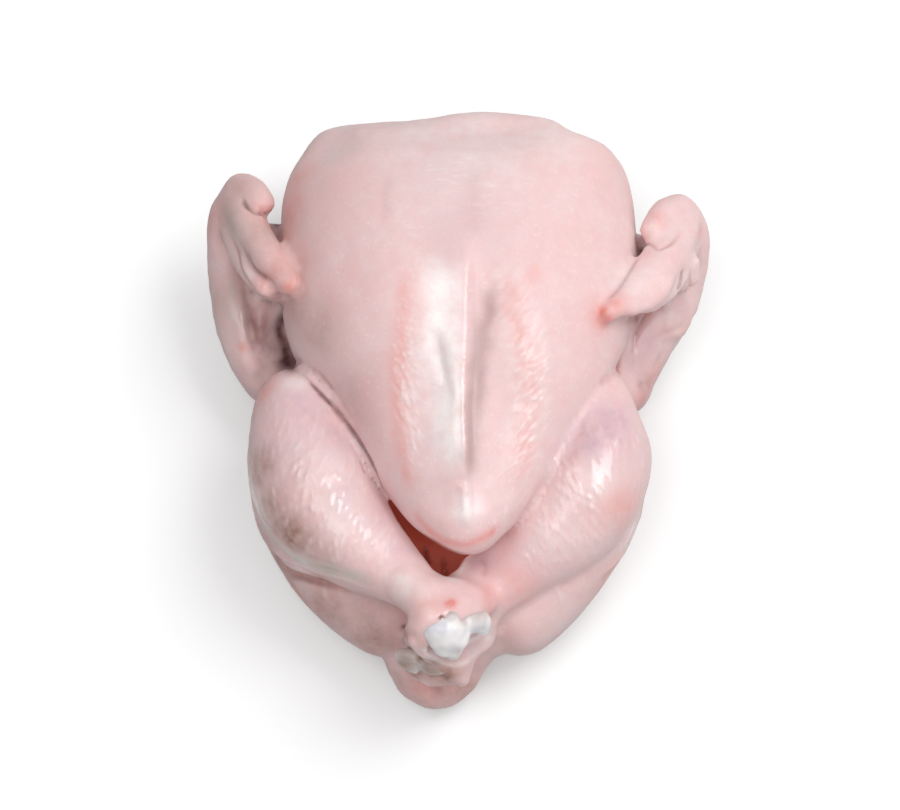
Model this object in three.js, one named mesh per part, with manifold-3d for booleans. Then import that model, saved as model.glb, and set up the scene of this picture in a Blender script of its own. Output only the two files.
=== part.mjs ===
// A whole raw chicken, plucked and drawn, lying on its back with its breast up, its wings folded
// against its sides and its legs crossed over the tail.
// Millimetres. +Z is up, +Y points to the neck, +X is the right-hand side seen from above.
// The origin is on the table, under the middle of the bird's bounding box.
import * as THREE from "three";
import { mergeVertices } from "three/addons/utils/BufferGeometryUtils.js";
import Module from "manifold-3d";

const wasm = await Module();
wasm.setup();

// ---- Driving dimensions -------------------------------------------------------------------

const BREAST_HALF_WIDTH = 72.5;
const BREAST_MIDDLE_Z = 54; // height at which the breast is widest
const BREAST_RISE = 46.5; // from there up to the top of the breast
const KEEL_X = 2; // the breastbone lies a little off the middle
const KEEL_RIDGE = 2; // how far the breastbone stands up between the two fillets
const KEEL_HOLLOW = 2.4; // how deep the skin dips beside it
const DRUMSTICK_RADIUS = 25;
const ANKLE_RADIUS = 10;
const HOCK_RADIUS = 14.5;
const HOCK_STRETCH = 1.15; // the skin cuff at the hock is this much wider than it is deep
const BONE_RADIUS = 4; // the shank's shaft
const KNUCKLE_RADIUS = 7.5; // a lobe of the joint head at its end
const KNUCKLE_SPREAD = 5.5; // from the shank's axis to the middle of each lobe
const KNUCKLE_REACH = 5; // length of a lobe's straight part
const CLEARANCE = 0.3; // between a bone and the meat round it
const TABLE_SLICE = 60; // thickness of the block that flattens the back

// ---- Helpers ------------------------------------------------------------------------------

// A closed, rounded form swept through stations [x, y, z, half width, half depth].
// Width runs along the horizontal side of the path and depth along its other normal.
// Each end closes in a dome that carries on the form's own taper. caps says how long the domes are,
// as a share of their radius, and crowd draws a ring's points together on its upper side.
const DOME_RINGS = 3;
const curveThrough = (points) => new THREE.CatmullRomCurve3(points, false, "catmullrom", 0.5);

function form(stations, options = {}) {
  const { rings = 20, sides = 20, up = [0, 0, 1], caps = [0.9, 0.9], square = 2, crowd = 0, relief } = options;
  const path = curveThrough(stations.map(([x, y, z]) => new THREE.Vector3(x, y, z)));
  const size = curveThrough(stations.map(([, , , w, d]) => new THREE.Vector3(w, d, 0)));
  const upward = new THREE.Vector3(...up);

  // How fast the form narrows towards its end at t = 0 or 1, as a slope.
  const taperAt = (t) => {
    const inside = t === 0 ? 0.02 : 0.98;
    const narrowing = (size.getPoint(inside).x + size.getPoint(inside).y - size.getPoint(t).x - size.getPoint(t).y) / 2;
    return Math.max(0, narrowing / path.getPoint(inside).distanceTo(path.getPoint(t)));
  };
  const dome = (t, share) => {
    const first = Math.atan(taperAt(t) * share);
    return Array.from({ length: DOME_RINGS }, (_, i) => {
      const angle = first + ((i + 1) / DOME_RINGS) * (Math.PI / 2 - first);
      const out = (share * (Math.sin(angle) - Math.sin(first))) / Math.cos(first);
      return { t, shrink: Math.cos(angle) / Math.cos(first), out: t === 0 ? -out : out };
    });
  };
  const outline = [
    ...dome(0, caps[0]).reverse(),
    ...Array.from({ length: rings + 1 }, (_, i) => ({ t: i / rings, shrink: 1, out: 0 })),
    ...dome(1, caps[1]),
  ];

  const positions = [];
  const addRing = ({ t, shrink, out }) => {
    const centre = path.getPoint(t);
    const tangent = path.getTangent(t);
    const { x: width, y: depth } = size.getPoint(t);
    const side = new THREE.Vector3().crossVectors(tangent, upward).normalize();
    const normal = new THREE.Vector3().crossVectors(side, tangent).normalize();
    centre.addScaledVector(tangent, out * Math.min(width, depth));
    if (shrink < 1e-6) {
      positions.push(centre);
      return 1;
    }
    for (let i = 0; i < sides; i++) {
      const even = (i / sides) * 2 * Math.PI;
      const a = even + crowd * Math.cos(even);
      const c = Math.sign(Math.cos(a)) * Math.abs(Math.cos(a)) ** (2 / square);
      const s = Math.sign(Math.sin(a)) * Math.abs(Math.sin(a)) ** (2 / square);
      const point = centre
        .clone()
        .addScaledVector(side, width * shrink * c)
        .addScaledVector(normal, depth * shrink * s);
      if (relief) relief(point);
      positions.push(point);
    }
    return sides;
  };
  const counts = outline.map(addRing);

  const triangles = [];
  let start = 0;
  for (let r = 0; r + 1 < counts.length; r++) {
    const next = start + counts[r];
    for (let i = 0; i < sides; i++) {
      const j = (i + 1) % sides;
      if (counts[r] === 1) triangles.push(start, next + j, next + i);
      else if (counts[r + 1] === 1) triangles.push(start + i, start + j, next);
      else {
        triangles.push(start + i, start + j, next + j);
        triangles.push(start + i, next + j, next + i);
      }
    }
    start = next;
  }
  const geometry = new THREE.BufferGeometry().setFromPoints(positions);
  geometry.setIndex(triangles);
  return solidOf(geometry);
}

// A manifold-3d solid from a closed three.js geometry, turned the right way out.
function solidOf(geometry) {
  const bare = geometry.clone();
  for (const name of Object.keys(bare.attributes)) if (name !== "position") bare.deleteAttribute(name);
  const merged = mergeVertices(bare, 1e-4);
  const triVerts = new Uint32Array(merged.index.array);
  const vertProperties = new Float32Array(merged.attributes.position.array);
  const make = () => new wasm.Manifold(new wasm.Mesh({ numProp: 3, vertProperties, triVerts }));
  const made = make();
  if (made.volume() > 0) return made;
  for (let i = 0; i < triVerts.length; i += 3) {
    [triVerts[i + 1], triVerts[i + 2]] = [triVerts[i + 2], triVerts[i + 1]];
  }
  return make();
}

function geometryOf(solid) {
  const mesh = solid.getMesh();
  const positions = new Float32Array(mesh.numVert * 3);
  for (let i = 0; i < mesh.numVert; i++) {
    positions.set(mesh.vertProperties.subarray(i * mesh.numProp, i * mesh.numProp + 3), i * 3);
  }
  const geometry = new THREE.BufferGeometry();
  geometry.setAttribute("position", new THREE.BufferAttribute(positions, 3));
  geometry.setIndex(new THREE.BufferAttribute(new Uint32Array(mesh.triVerts), 1));
  return geometry;
}

const joined = (solids) => solids.reduce((all, next) => all.add(next));
const bump = (distance, spread) => Math.exp(-((distance / spread) ** 2));
const smooth = (low, high, value) => THREE.MathUtils.smoothstep(value, low, high);

// ---- Trunk --------------------------------------------------------------------------------

// The breastbone's ridge with the hollow on each side of it, fading out towards neck and tip, and
// the dip between the shoulders where the wishbone lies.
function keelRelief(point) {
  if (point.z < BREAST_MIDDLE_Z + 8) return;
  const x = point.x - KEEL_X;
  const along = smooth(-56, -32, point.y) * (1 - smooth(37, 79, point.y));
  point.z += along * (KEEL_RIDGE * bump(x, 4.5) - KEEL_HOLLOW * (bump(x - 11, 6.5) + bump(x + 11, 6.5)));
  point.z -= 3 * bump(x, 21) * smooth(79, 107, point.y);
}

function breast() {
  const w = BREAST_HALF_WIDTH;
  const z = BREAST_MIDDLE_Z;
  const h = BREAST_RISE;
  const stations = [
    [3, -60, z + 16, 10.5, 9],
    [2.5, -53, z + 14.5, 18, 14],
    [2, -43, z + 12, 26.5, 19],
    [2, -28, z + 8.5, 37, 25],
    [2, -11, z + 4.5, 48, 32.5],
    [2, 7, z + 1.5, 59.5, 39],
    [1, 25, z, 69, h - 3.5],
    [0, 47, z, w, h],
    [-0.5, 72, z, w, h - 1.5],
    [-0.5, 90, z + 1, w - 1.5, h - 7],
    [-0.5, 99.5, z + 1.5, w - 4.5, h - 12.5],
    [-0.5, 106, z + 2, w - 10, h - 18.5],
    [0, 111, z + 2, w - 18.5, h - 25],
    [0.5, 114.5, z + 2, w - 33, h - 32],
  ];
  const options = { rings: 26, sides: 36, caps: [1.4, 0.7], square: 2.15, crowd: 0.45, relief: keelRelief };
  return form(stations, options);
}

function back() {
  const stations = [
    [0, 84, 30, 36, 26],
    [0, 56, 25, 46, 30],
    [0, 18, 23, 49, 30],
    [0, -23, 23, 50, 29],
    [-1, -54, 24, 48, 28],
    [-3, -76, 22, 39, 23],
    [-6, -90, 20, 26, 17],
  ];
  return form(stations, { rings: 11, sides: 22, caps: [0.7, 0.7], square: 2.3 });
}

function thigh(side) {
  const left = [
    [-63, 0, 45, 19, 22],
    [-58.5, -30, 34, 27, 30],
    [-44.5, -61, 27, 24, 26],
    [-27, -82, 23, 18.5, 20],
  ];
  const right = [
    [59, -2, 45, 18.5, 22],
    [49.5, -32, 34, 26, 30],
    [37.5, -59, 27, 23, 26],
    [22, -83.5, 23, 17, 20],
  ];
  return form(side < 0 ? left : right, { rings: 9, sides: 16 });
}

function tail() {
  const stations = [
    [-6.5, -80, 25, 24, 17],
    [-8.5, -98, 18.5, 22.5, 12],
    [-9, -110.5, 15.5, 17.5, 9.5],
  ];
  return form(stations, { rings: 6, sides: 16, caps: [0.8, 1], square: 2.2 });
}

// The loose skin of the neck: a soft roll along the front of the breast, and below it a flap that
// hangs down in a few deep waves and is tucked under the bird.
const NECK_X = 6;
const FLAP_WAVE = 2; // half the height of a wave
const FLAP_WAVE_LENGTH = 17;

function flapWaves(point) {
  const side = point.x - NECK_X + 0.12 * (60 - point.z);
  const front = bump(side, 32) * smooth(94, 106, point.y) * (1 - smooth(36, 64, point.z));
  point.y += FLAP_WAVE * front * Math.cos((2 * Math.PI * side) / FLAP_WAVE_LENGTH);
}

function neckSkin() {
  const roll = [
    [-28, 103, 61, 6, 8],
    [-8, 108.5, 65, 9, 12],
    [12, 110, 66, 10, 13],
    [31, 107, 65, 9, 12],
    [50, 98, 61, 6, 8],
  ];
  const flap = [
    [NECK_X + 1, 99, 66, 40, 14],
    [NECK_X + 1, 102, 44, 37, 14],
    [NECK_X - 1, 96, 24, 31, 15],
    [NECK_X - 2, 86, 10, 25, 13],
  ];
  return joined([
    form(roll, { rings: 7, sides: 12 }),
    form(flap, { rings: 8, sides: 30, up: [0, 1, 0], relief: flapWaves }),
  ]);
}

// The drawn cavity: a long chamber under the breastbone, open between its tip and the tail.
function cavity() {
  const stations = [
    [-4, 46, 42, 20, 17],
    [-5, 14, 41, 29, 22],
    [-6, -20, 41, 30, 22],
    [-7, -50, 42, 26, 19],
    [-8, -69, 46, 17, 15],
    [-8, -80, 62, 14, 11],
  ];
  return form(stations, { rings: 11, sides: 16 });
}

// ---- Legs ---------------------------------------------------------------------------------

// The middle of each shank from knee to hock. The left leg lies over the right one where they cross.
const LEFT_SHANK = [
  [-65, 3, 50],
  [-61.5, -18.5, 50],
  [-55, -39, 50],
  [-41, -56, 53],
  [-25, -69, 56],
  [-14.5, -78, 60],
  [-7.5, -87, 63],
  [-2.5, -94, 66],
];
const RIGHT_SHANK = [
  [59, 2, 50],
  [54, -17.5, 50],
  [47.5, -36, 48.5],
  [37, -53, 48.5],
  [24.5, -66, 47.5],
  [11.5, -76.5, 45.5],
  [-1, -90.5, 42],
  [-9.5, -101, 39.5],
];
const SHANK_RADII = [18, DRUMSTICK_RADIUS - 1, DRUMSTICK_RADIUS, 19.5, 13, ANKLE_RADIUS, 11.5, HOCK_RADIUS];
const KNEE = 0;
const FIRST_BONE_POINT = 2; // the bone starts inside the thick of the drumstick

function drumstick(shank) {
  const hock = shank.length - 1;
  const stations = shank.map((place, i) => {
    const stretch = i === hock ? HOCK_STRETCH : 1;
    const depth = i === KNEE ? SHANK_RADII[i] + 1 : SHANK_RADII[i];
    return [...place, SHANK_RADII[i] * stretch, depth / stretch];
  });
  return form(stations, { rings: 18, sides: 18, caps: [0.9, 0.35] });
}

// The shank's bone: a shaft through the drumstick that ends in the two-lobed joint head which
// stands out of the skin at the hock. spare makes it bigger all round, to cut the hole it fills.
function shankBone(shank, spare = 0) {
  const route = shank.slice(FIRST_BONE_POINT);
  const hock = route.length - 1;
  const end = new THREE.Vector3(...route[hock]);
  const tangent = end.clone().sub(new THREE.Vector3(...route[hock - 1])).normalize();
  const across = new THREE.Vector3().crossVectors(tangent, new THREE.Vector3(0, 0, 1)).normalize();
  const shaft = route.map((place, i) => {
    const radius = (i === hock ? BONE_RADIUS * 1.5 : BONE_RADIUS) + spare;
    return [...place, radius, radius];
  });
  const lobe = (sign) => {
    const radius = KNUCKLE_RADIUS + spare;
    const near = end.clone().addScaledVector(across, sign * KNUCKLE_SPREAD).addScaledVector(tangent, -2);
    const far = near.clone().addScaledVector(tangent, KNUCKLE_REACH);
    const stations = [near, far].map((place) => [...place.toArray(), radius * 0.9, radius]);
    return form(stations, { rings: 2, sides: 14, caps: [1, 0.8] });
  };
  return joined([form(shaft, { rings: 8, sides: 8, caps: [1, 0.5] }), lobe(-1), lobe(1)]);
}

// ---- Wings --------------------------------------------------------------------------------

// Folded in a Z: the upper arm runs back along the ribs, the forearm forward again outside it, and
// the hand lies back over the forearm on to the breast. Skin webs fill the angles between them.
const LEFT_WING = {
  upperArm: [
    [-56, 76, 43, 16, 18],
    [-66, 44.5, 34, 14, 17],
    [-75, 17, 28, 11, 14],
  ],
  forearm: [
    [-78.5, 16.5, 27, 10, 11],
    [-89.5, 33.5, 31.5, 10, 11],
    [-95, 57.5, 39, 8.5, 11],
    [-95, 79, 48.5, 8.5, 10],
    [-90, 88.5, 54.5, 7.5, 8.5],
  ],
  web: [
    [-72, 24, 27, 8, 8],
    [-79, 48, 33, 15, 9],
    [-80, 72, 42, 15, 9],
  ],
  hand: [
    [-90, 86.5, 57, 8, 7.5],
    [-84, 70.5, 65, 7.5, 6.5],
    [-75.5, 54.5, 72.5, 7, 6],
    [-67, 42.5, 76.5, 5.5, 5],
  ],
  quillEdge: [
    [-92, 76.5, 56, 6.5, 4.5],
    [-86, 57.5, 63, 6.5, 4],
    [-74.5, 41.5, 71, 5.5, 3.5],
  ],
  thumb: [
    [-90, 91, 57, 6.5, 7.5],
    [-84.5, 88, 62.5, 7.5, 6.5],
    [-79, 80, 66, 6, 5.5],
  ],
};
const RIGHT_WING = {
  upperArm: [
    [56, 74.5, 43, 16, 18],
    [65, 41, 34, 14, 17],
    [71, 13, 28, 11, 14],
  ],
  forearm: [
    [69.5, 11, 27, 9.5, 11],
    [81, 30, 31.5, 9.5, 11],
    [92, 53, 39, 9, 11],
    [94.5, 71.5, 48.5, 8.5, 10],
    [90.5, 80, 54.5, 7.5, 8.5],
  ],
  web: [
    [69, 20.5, 27, 8, 8],
    [77, 44.5, 33, 15, 9],
    [80, 67, 42, 15, 9],
  ],
  hand: [
    [90.5, 76.5, 57.5, 8.5, 7.5],
    [83.5, 59, 66, 9.5, 6.5],
    [71, 41, 76, 7.5, 5.5],
    [58, 28.5, 82.5, 4, 4],
  ],
  quillEdge: [
    [93, 67, 56.5, 5.5, 4.5],
    [85, 47, 65, 5.5, 4],
    [73.5, 34.5, 73.5, 4.5, 3.5],
  ],
  thumb: [
    [90, 81.5, 57, 6.5, 7.5],
    [84, 77.5, 63, 6.5, 6.5],
    [77, 67.5, 67.5, 5.5, 5],
  ],
};

function wing({ upperArm, forearm, web, hand, quillEdge, thumb }) {
  return joined([
    form(upperArm, { rings: 5, sides: 12 }),
    form(forearm, { rings: 10, sides: 14 }),
    form(web, { rings: 5, sides: 10 }),
    form(hand, { rings: 8, sides: 12, caps: [1, 1] }),
    form(quillEdge, { rings: 5, sides: 8 }),
    form(thumb, { rings: 5, sides: 12 }),
  ]);
}

// ---- Whole bird ---------------------------------------------------------------------------

function tableBlock() {
  const box = new THREE.BoxGeometry(400, 400, TABLE_SLICE);
  box.translate(0, 0, -TABLE_SLICE / 2);
  return solidOf(box);
}

const trunk = joined([breast(), back(), thigh(-1), thigh(1), tail(), neckSkin()]).subtract(cavity());
const limbs = [drumstick(LEFT_SHANK), drumstick(RIGHT_SHANK), wing(LEFT_WING), wing(RIGHT_WING)];
const bird = joined([trunk, ...limbs])
  .subtract(tableBlock())
  .subtract(shankBone(LEFT_SHANK, CLEARANCE))
  .subtract(shankBone(RIGHT_SHANK, CLEARANCE));

const chicken = new THREE.Group();
const skin = new THREE.MeshStandardMaterial({ color: 0xecccca, roughness: 0.42, metalness: 0 });
const cartilage = new THREE.MeshStandardMaterial({ color: 0xdfd9dc, roughness: 0.3, metalness: 0 });

function addMesh(name, solid, material) {
  const mesh = new THREE.Mesh(geometryOf(solid), material);
  mesh.name = name;
  chicken.add(mesh);
}

addMesh("chicken", bird, skin);
addMesh("left_shank_bone", shankBone(LEFT_SHANK), cartilage);
addMesh("right_shank_bone", shankBone(RIGHT_SHANK), cartilage);

// The stations above are measured from a point near the middle of the back, so the whole bird is
// moved until its bounding box is centred on the origin.
const middle = new THREE.Box3().setFromObject(chicken).getCenter(new THREE.Vector3());
chicken.position.set(-middle.x, -middle.y, 0);

export default chicken;
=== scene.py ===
# %% [markdown]
# # A raw chicken for the kitchen table
#
# A plucked and drawn chicken lies on its back with its drumsticks crossed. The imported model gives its
# solids: the bird and the two shank bones. This lesson dresses them. The bird's many smooth forms are
# first closed into one skin, the skin then gets its folds, hollows and feather follicles as real relief,
# and one wet, slightly see-through material is tinted by a few named tones.

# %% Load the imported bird
import math
import random

import bmesh
import bpy
import numpy as np
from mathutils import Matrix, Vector, kdtree, noise


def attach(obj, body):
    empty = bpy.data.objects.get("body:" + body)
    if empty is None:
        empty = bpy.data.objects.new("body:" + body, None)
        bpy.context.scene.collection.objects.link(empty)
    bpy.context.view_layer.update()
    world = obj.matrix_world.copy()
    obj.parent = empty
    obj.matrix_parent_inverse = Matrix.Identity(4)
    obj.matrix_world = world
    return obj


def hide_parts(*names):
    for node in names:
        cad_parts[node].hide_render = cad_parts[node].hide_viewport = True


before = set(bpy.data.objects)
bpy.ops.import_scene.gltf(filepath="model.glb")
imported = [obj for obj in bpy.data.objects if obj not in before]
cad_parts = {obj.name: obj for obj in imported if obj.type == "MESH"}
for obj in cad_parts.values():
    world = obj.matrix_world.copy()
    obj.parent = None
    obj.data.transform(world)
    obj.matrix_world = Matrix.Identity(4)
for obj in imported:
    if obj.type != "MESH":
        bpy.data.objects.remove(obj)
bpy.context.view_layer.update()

MM = 0.001
print("nodes:", sorted(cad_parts))

# %% [markdown]
# ## The camera
#
# The bird is looked at from above its tail, 75 degrees above the table, through a long lens. A long lens
# from far away keeps the near ankles from looking larger than the breast.

# %% Camera
CAMERA_TARGET = Vector((-0.0033, -0.0012, 0.051))
CAMERA_DISTANCE = 0.93
CAMERA_ELEVATION = math.radians(75)
SENSOR_WIDTH = 36.0  # mm
VIEW_WIDTH = 0.36  # m across the picture at the target


def look_at(thing, place, target):
    """Puts a camera or a light at a place and turns it to the target."""
    thing.location = place
    thing.rotation_euler = (target - place).to_track_quat("-Z", "Y").to_euler()


def place_of_view(elevation, distance):
    """The point that looks down on the target from the tail's side."""
    return CAMERA_TARGET + distance * Vector((0, -math.cos(elevation), math.sin(elevation)))


camera_data = bpy.data.cameras.new("camera")
camera_data.sensor_width = SENSOR_WIDTH
camera_data.lens = SENSOR_WIDTH * CAMERA_DISTANCE / VIEW_WIDTH
camera = bpy.data.objects.new("camera", camera_data)
bpy.context.scene.collection.objects.link(camera)
look_at(camera, place_of_view(CAMERA_ELEVATION, CAMERA_DISTANCE), CAMERA_TARGET)
bpy.context.scene.camera = camera
print("lens:", round(camera_data.lens, 1), "mm")

# %% [markdown]
# ## Small tools
#
# Five things are done again and again: pick objects, finish one with a modifier, write a colour as it is
# seen on a screen, add a shader node with its settings and links, and start a material.

# %% Tools


def pick(*pieces):
    """Selects these objects alone and makes the first one active."""
    bpy.ops.object.select_all(action="DESELECT")
    for piece in pieces:
        piece.select_set(True)
    bpy.context.view_layer.objects.active = pieces[0]


def finish_with(piece, kind, **settings):
    """Adds a modifier with its settings and applies it."""
    pick(piece)
    modifier = piece.modifiers.new(kind.lower(), kind)
    for name, value in settings.items():
        setattr(modifier, name, value)
    bpy.ops.object.modifier_apply(modifier=modifier.name)


def linear(hex_colour):
    """A colour written as sRGB hex, as the linear RGBA that a shader takes."""
    parts = [int(hex_colour[i : i + 2], 16) / 255 for i in (1, 3, 5)]
    return tuple(c / 12.92 if c <= 0.04045 else ((c + 0.055) / 1.055) ** 2.4 for c in parts) + (1.0,)


def add_node(owner, kind, output, inputs=(), **settings):
    """Adds a shader node with its settings, and gives back one of its outputs.

    Each input takes a value, or the output of another node, which is linked. A list fills them in order.
    """
    made = owner.node_tree.nodes.new(kind)
    for name, value in settings.items():
        setattr(made, name, value)
    if not isinstance(inputs, dict):
        inputs = dict(enumerate(inputs))
    for name, value in inputs.items():
        if isinstance(value, bpy.types.NodeSocket):
            owner.node_tree.links.new(value, made.inputs[name])
        else:
            made.inputs[name].default_value = value
    return made.outputs[output]


def new_material(name, settings):
    """A material, and its Principled shader with these settings."""
    material = bpy.data.materials.new(name)
    material.use_nodes = True
    shader = material.node_tree.nodes["Principled BSDF"]
    for socket, value in settings.items():
        shader.inputs[socket].default_value = value
    return material, shader


print("a mid grey as light:", [round(c, 3) for c in linear("#808080")[:3]])

# %% [markdown]
# ## Light and table
#
# Food on a pure white ground is lit by very large soft boxes. The main one stands at the right, so the
# shadow falls to the left. Wet skin mirrors the boxes, and each mirror image is a gleam, so the gleams
# get boxes of their own: a long one a little left of overhead for the gleam beside the breastbone, and
# one at the right for the drumsticks. Two weak ones, low behind the tail and at the right, open the dark
# edges, and are linked to the bird alone, so the table keeps its shadow. The room is bright on the main
# box's side and dim on the other. Daylight also comes through the thin flanks, so a tiny lamp inside the
# bird lights its cavity. The table is nearly white, and doesn't light the bird's flanks from below, as a
# far backdrop wouldn't.

# %% Sky, soft boxes and table
SKY_BRIGHT = 0.58  # towards the main box
SKY_DIM = 0.13  # away from it
SKY_DIRECTION = Vector((0.55, 0.15, 0.82)).normalized()
SKY_TURN = (-0.6, 1.0)  # the facings, from -1 to 1, between which the sky brightens
SOFT_BOXES = {
    # name: (place in m, length along Y and width in m, watts, lights the skin, shows in its gloss)
    "main box": (Vector((0.52, 0.36, 1.06)), (0.60, 0.60), 5.3, True, False),
    "keel gleam": (Vector((-0.25, -0.11, 1.00)), (0.60, 0.44), 2.2, True, True),
    "drum gleam": (Vector((0.44, -0.02, 0.88)), (0.42, 0.42), 3.2, False, True),
    "tail fill": (Vector((-0.22, -0.80, 0.42)), (0.50, 0.70), 1.15, True, False),
    "right fill": (Vector((0.90, -0.05, 0.42)), (0.60, 0.60), 0.95, True, False),
}
BIRD_ONLY = ("tail fill", "right fill")
CAVITY_LAMP = (Vector((-0.006, -0.045, 0.046)), 0.008, 0.011)  # place, radius in m, watts
TABLE_GAP = 0.0003  # the table lies this far under the bird, in m
TABLE_SIZE = 8.0
TABLE_GLOW = 0.21  # a backdrop lit from behind keeps its shadows pale

bpy.context.scene.view_settings.view_transform = "Standard"
world = bpy.data.worlds.new("white room")
bpy.context.scene.world = world
world.use_nodes = True
sky = world.node_tree.nodes["Background"]
sky.inputs["Color"].default_value = linear("#FFFFFF")
direction = add_node(world, "ShaderNodeTexCoord", "Generated")
facing = add_node(world, "ShaderNodeVectorMath", "Value", [direction, SKY_DIRECTION], operation="DOT_PRODUCT")
strength = add_node(world, "ShaderNodeMapRange", "Result", [facing, *SKY_TURN, SKY_DIM, SKY_BRIGHT],
                    interpolation_type="SMOOTHSTEP")
world.node_tree.links.new(strength, sky.inputs["Strength"])

bird = bpy.data.collections.new("bird")
for name, (place, (length, width), watts, lights_skin, shows) in SOFT_BOXES.items():
    box_light = bpy.data.lights.new(name, "AREA")
    box_light.shape = "RECTANGLE"
    box_light.size = length
    box_light.size_y = width
    box_light.energy = watts
    box_object = bpy.data.objects.new(name, box_light)
    bpy.context.scene.collection.objects.link(box_object)
    look_at(box_object, place, CAMERA_TARGET)
    box_object.visible_diffuse = lights_skin
    box_object.visible_glossy = shows
    if name in BIRD_ONLY:
        box_object.light_linking.receiver_collection = bird

lamp = bpy.data.lights.new("cavity lamp", "POINT")
lamp_object = bpy.data.objects.new("cavity lamp", lamp)
bpy.context.scene.collection.objects.link(lamp_object)
lamp_object.location, lamp.shadow_soft_size, lamp.energy = CAVITY_LAMP
lamp_object.visible_glossy = False

bpy.ops.mesh.primitive_plane_add(size=TABLE_SIZE, location=(0, 0, -TABLE_GAP))
table = bpy.context.object
table.name = "table"
bpy.ops.object.transform_apply(location=True)
table.visible_diffuse = False
# White backdrop paper is matt: no gleam, and a soft edge to every shadow.
backdrop_paper, _ = new_material("matt white backdrop paper", {
    "Base Color": linear("#FAFAFA"),
    "Roughness": 0.9,
    "Specular IOR Level": 0.1,
    "Emission Color": linear("#FFFFFF"),
    "Emission Strength": TABLE_GLOW,
})
table.data.materials.append(backdrop_paper)
print("soft boxes:", len(SOFT_BOXES), "watts in all:", round(sum(box[2] for box in SOFT_BOXES.values()), 2))

# %% [markdown]
# ## Places in the camera's view
#
# A sculptor works in the camera's view. Here a mark is a place in the camera's picture, which is 900
# wide and 810 high, and a ray from the camera finds the skin there. So every crease and every tone below
# is a short list of marks, and it stays on the skin if the form under it changes.

# %% From the picture to the skin
PICTURE_WIDTH = 900
PICTURE_HEIGHT = 810
VIEW_RIGHT = Vector((1, 0, 0))
VIEW_AHEAD = (CAMERA_TARGET - camera.location).normalized()
VIEW_UP = VIEW_RIGHT.cross(VIEW_AHEAD)
TO_CAMERA = np.array(-VIEW_AHEAD)


def unit(vectors):
    """These directions with a length of 1."""
    return vectors / np.maximum(np.linalg.norm(vectors, axis=-1, keepdims=True), 1e-9)


def ray_through(across, down):
    """The way a ray goes from the camera through a place of its picture."""
    shift = VIEW_RIGHT * (across - PICTURE_WIDTH / 2) + VIEW_UP * (PICTURE_HEIGHT / 2 - down)
    return VIEW_AHEAD + shift * (VIEW_WIDTH / PICTURE_WIDTH / CAMERA_DISTANCE)


def seen_at(across, down):
    """The point of the skin, in mm, that the camera sees at a place of its picture."""
    ray = ray_through(across, down)
    hit, place, _, _ = skin.ray_cast(camera.location, ray.normalized())
    if not hit:  # a mark just past the outline belongs to the skin nearest to it
        _, place, _, _ = skin.closest_point_on_mesh(camera.location + ray * CAMERA_DISTANCE)
    return np.array(place) / MM


def marks_at(*places):
    """The points of the skin, in mm, that are seen at some places of the picture."""
    bpy.context.view_layer.update()
    return [seen_at(*place) for place in places]


def on_plane(across, down, middle, facing):
    """Where a plane, given by a point in mm and its normal, is seen at a place of the picture."""
    start, ray = np.array(camera.location) / MM, np.array(ray_through(across, down))
    share = np.dot(np.array(middle) - start, facing) / np.dot(ray, facing)
    return start + ray * share


def smooth_line(marks, spacing=1.0):
    """A smooth line through marks, as points that are about a spacing apart, in mm."""
    marks = np.array(marks, float)
    padded = np.vstack([2 * marks[0] - marks[1], marks, 2 * marks[-1] - marks[-2]])
    line = []
    for a, b, c, d in zip(padded, padded[1:], padded[2:], padded[3:]):
        count = max(2, round(np.linalg.norm(c - b) / spacing))
        for t in np.linspace(0, 1, count, endpoint=False):
            line.append(0.5 * (2 * b + (c - a) * t + (2 * a - 5 * b + 4 * c - d) * t * t
                               + (3 * b - a - 3 * c + d) * t ** 3))
    line.append(marks[-1])
    return np.array(line)


print("one step of the picture at the target:", round(VIEW_WIDTH / PICTURE_WIDTH / MM, 2), "mm")

# %% [markdown]
# ## One skin over the whole bird
#
# On the real bird one skin runs from the breast over the legs and wings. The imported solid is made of
# facets up to 8 mm wide. A subdivision surface rounds a copy of them, and creased edges keep the tight
# folds where a leg or a wing presses against the breast.

# %% Round the facets
FOLD_ANGLE = math.radians(24)  # an edge that turns in by more than this is a fold between two forms
RIM_ANGLE = math.radians(55)  # an edge that turns out by more than this is a cut rim


def copy_of_node(node_name, piece_name):
    """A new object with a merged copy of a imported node's mesh."""
    piece = bpy.data.objects.new(piece_name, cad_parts[node_name].data.copy())
    bpy.context.scene.collection.objects.link(piece)
    piece.data.materials.clear()
    pick(piece)
    bpy.ops.object.mode_set(mode="EDIT")
    bpy.ops.mesh.select_all(action="SELECT")
    bpy.ops.mesh.remove_doubles(threshold=0.01 * MM)
    bpy.ops.object.mode_set(mode="OBJECT")
    return piece


def crease_folds(piece):
    """Creases the edges that a subdivision surface mustn't round off."""
    shape = bmesh.new()
    shape.from_mesh(piece.data)
    creases = shape.edges.layers.float.new("crease_edge")
    folds = 0
    for edge in shape.edges:
        turn = edge.calc_face_angle_signed(0)
        if turn < -FOLD_ANGLE or turn > RIM_ANGLE:
            edge[creases] = 1.0
            folds += 1
    shape.to_mesh(piece.data)
    shape.free()
    return folds


skin = copy_of_node("chicken", "raw_skin")
print("creased edges:", crease_folds(skin))
finish_with(skin, "SUBSURF", levels=2, render_levels=2)
print("skin faces:", len(skin.data.polygons))

# %% [markdown]
# ## Rolls and flaps of skin
#
# Small rolls, rims and flaps are strings of overlapping balls, which the remesh below melts into the
# skin. The left hock is a slanted face with a thick rim, and the rims lie on that plane. Plugs also close
# the holes round the two shank bones, whose joint heads are modelled anew further down.

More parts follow.
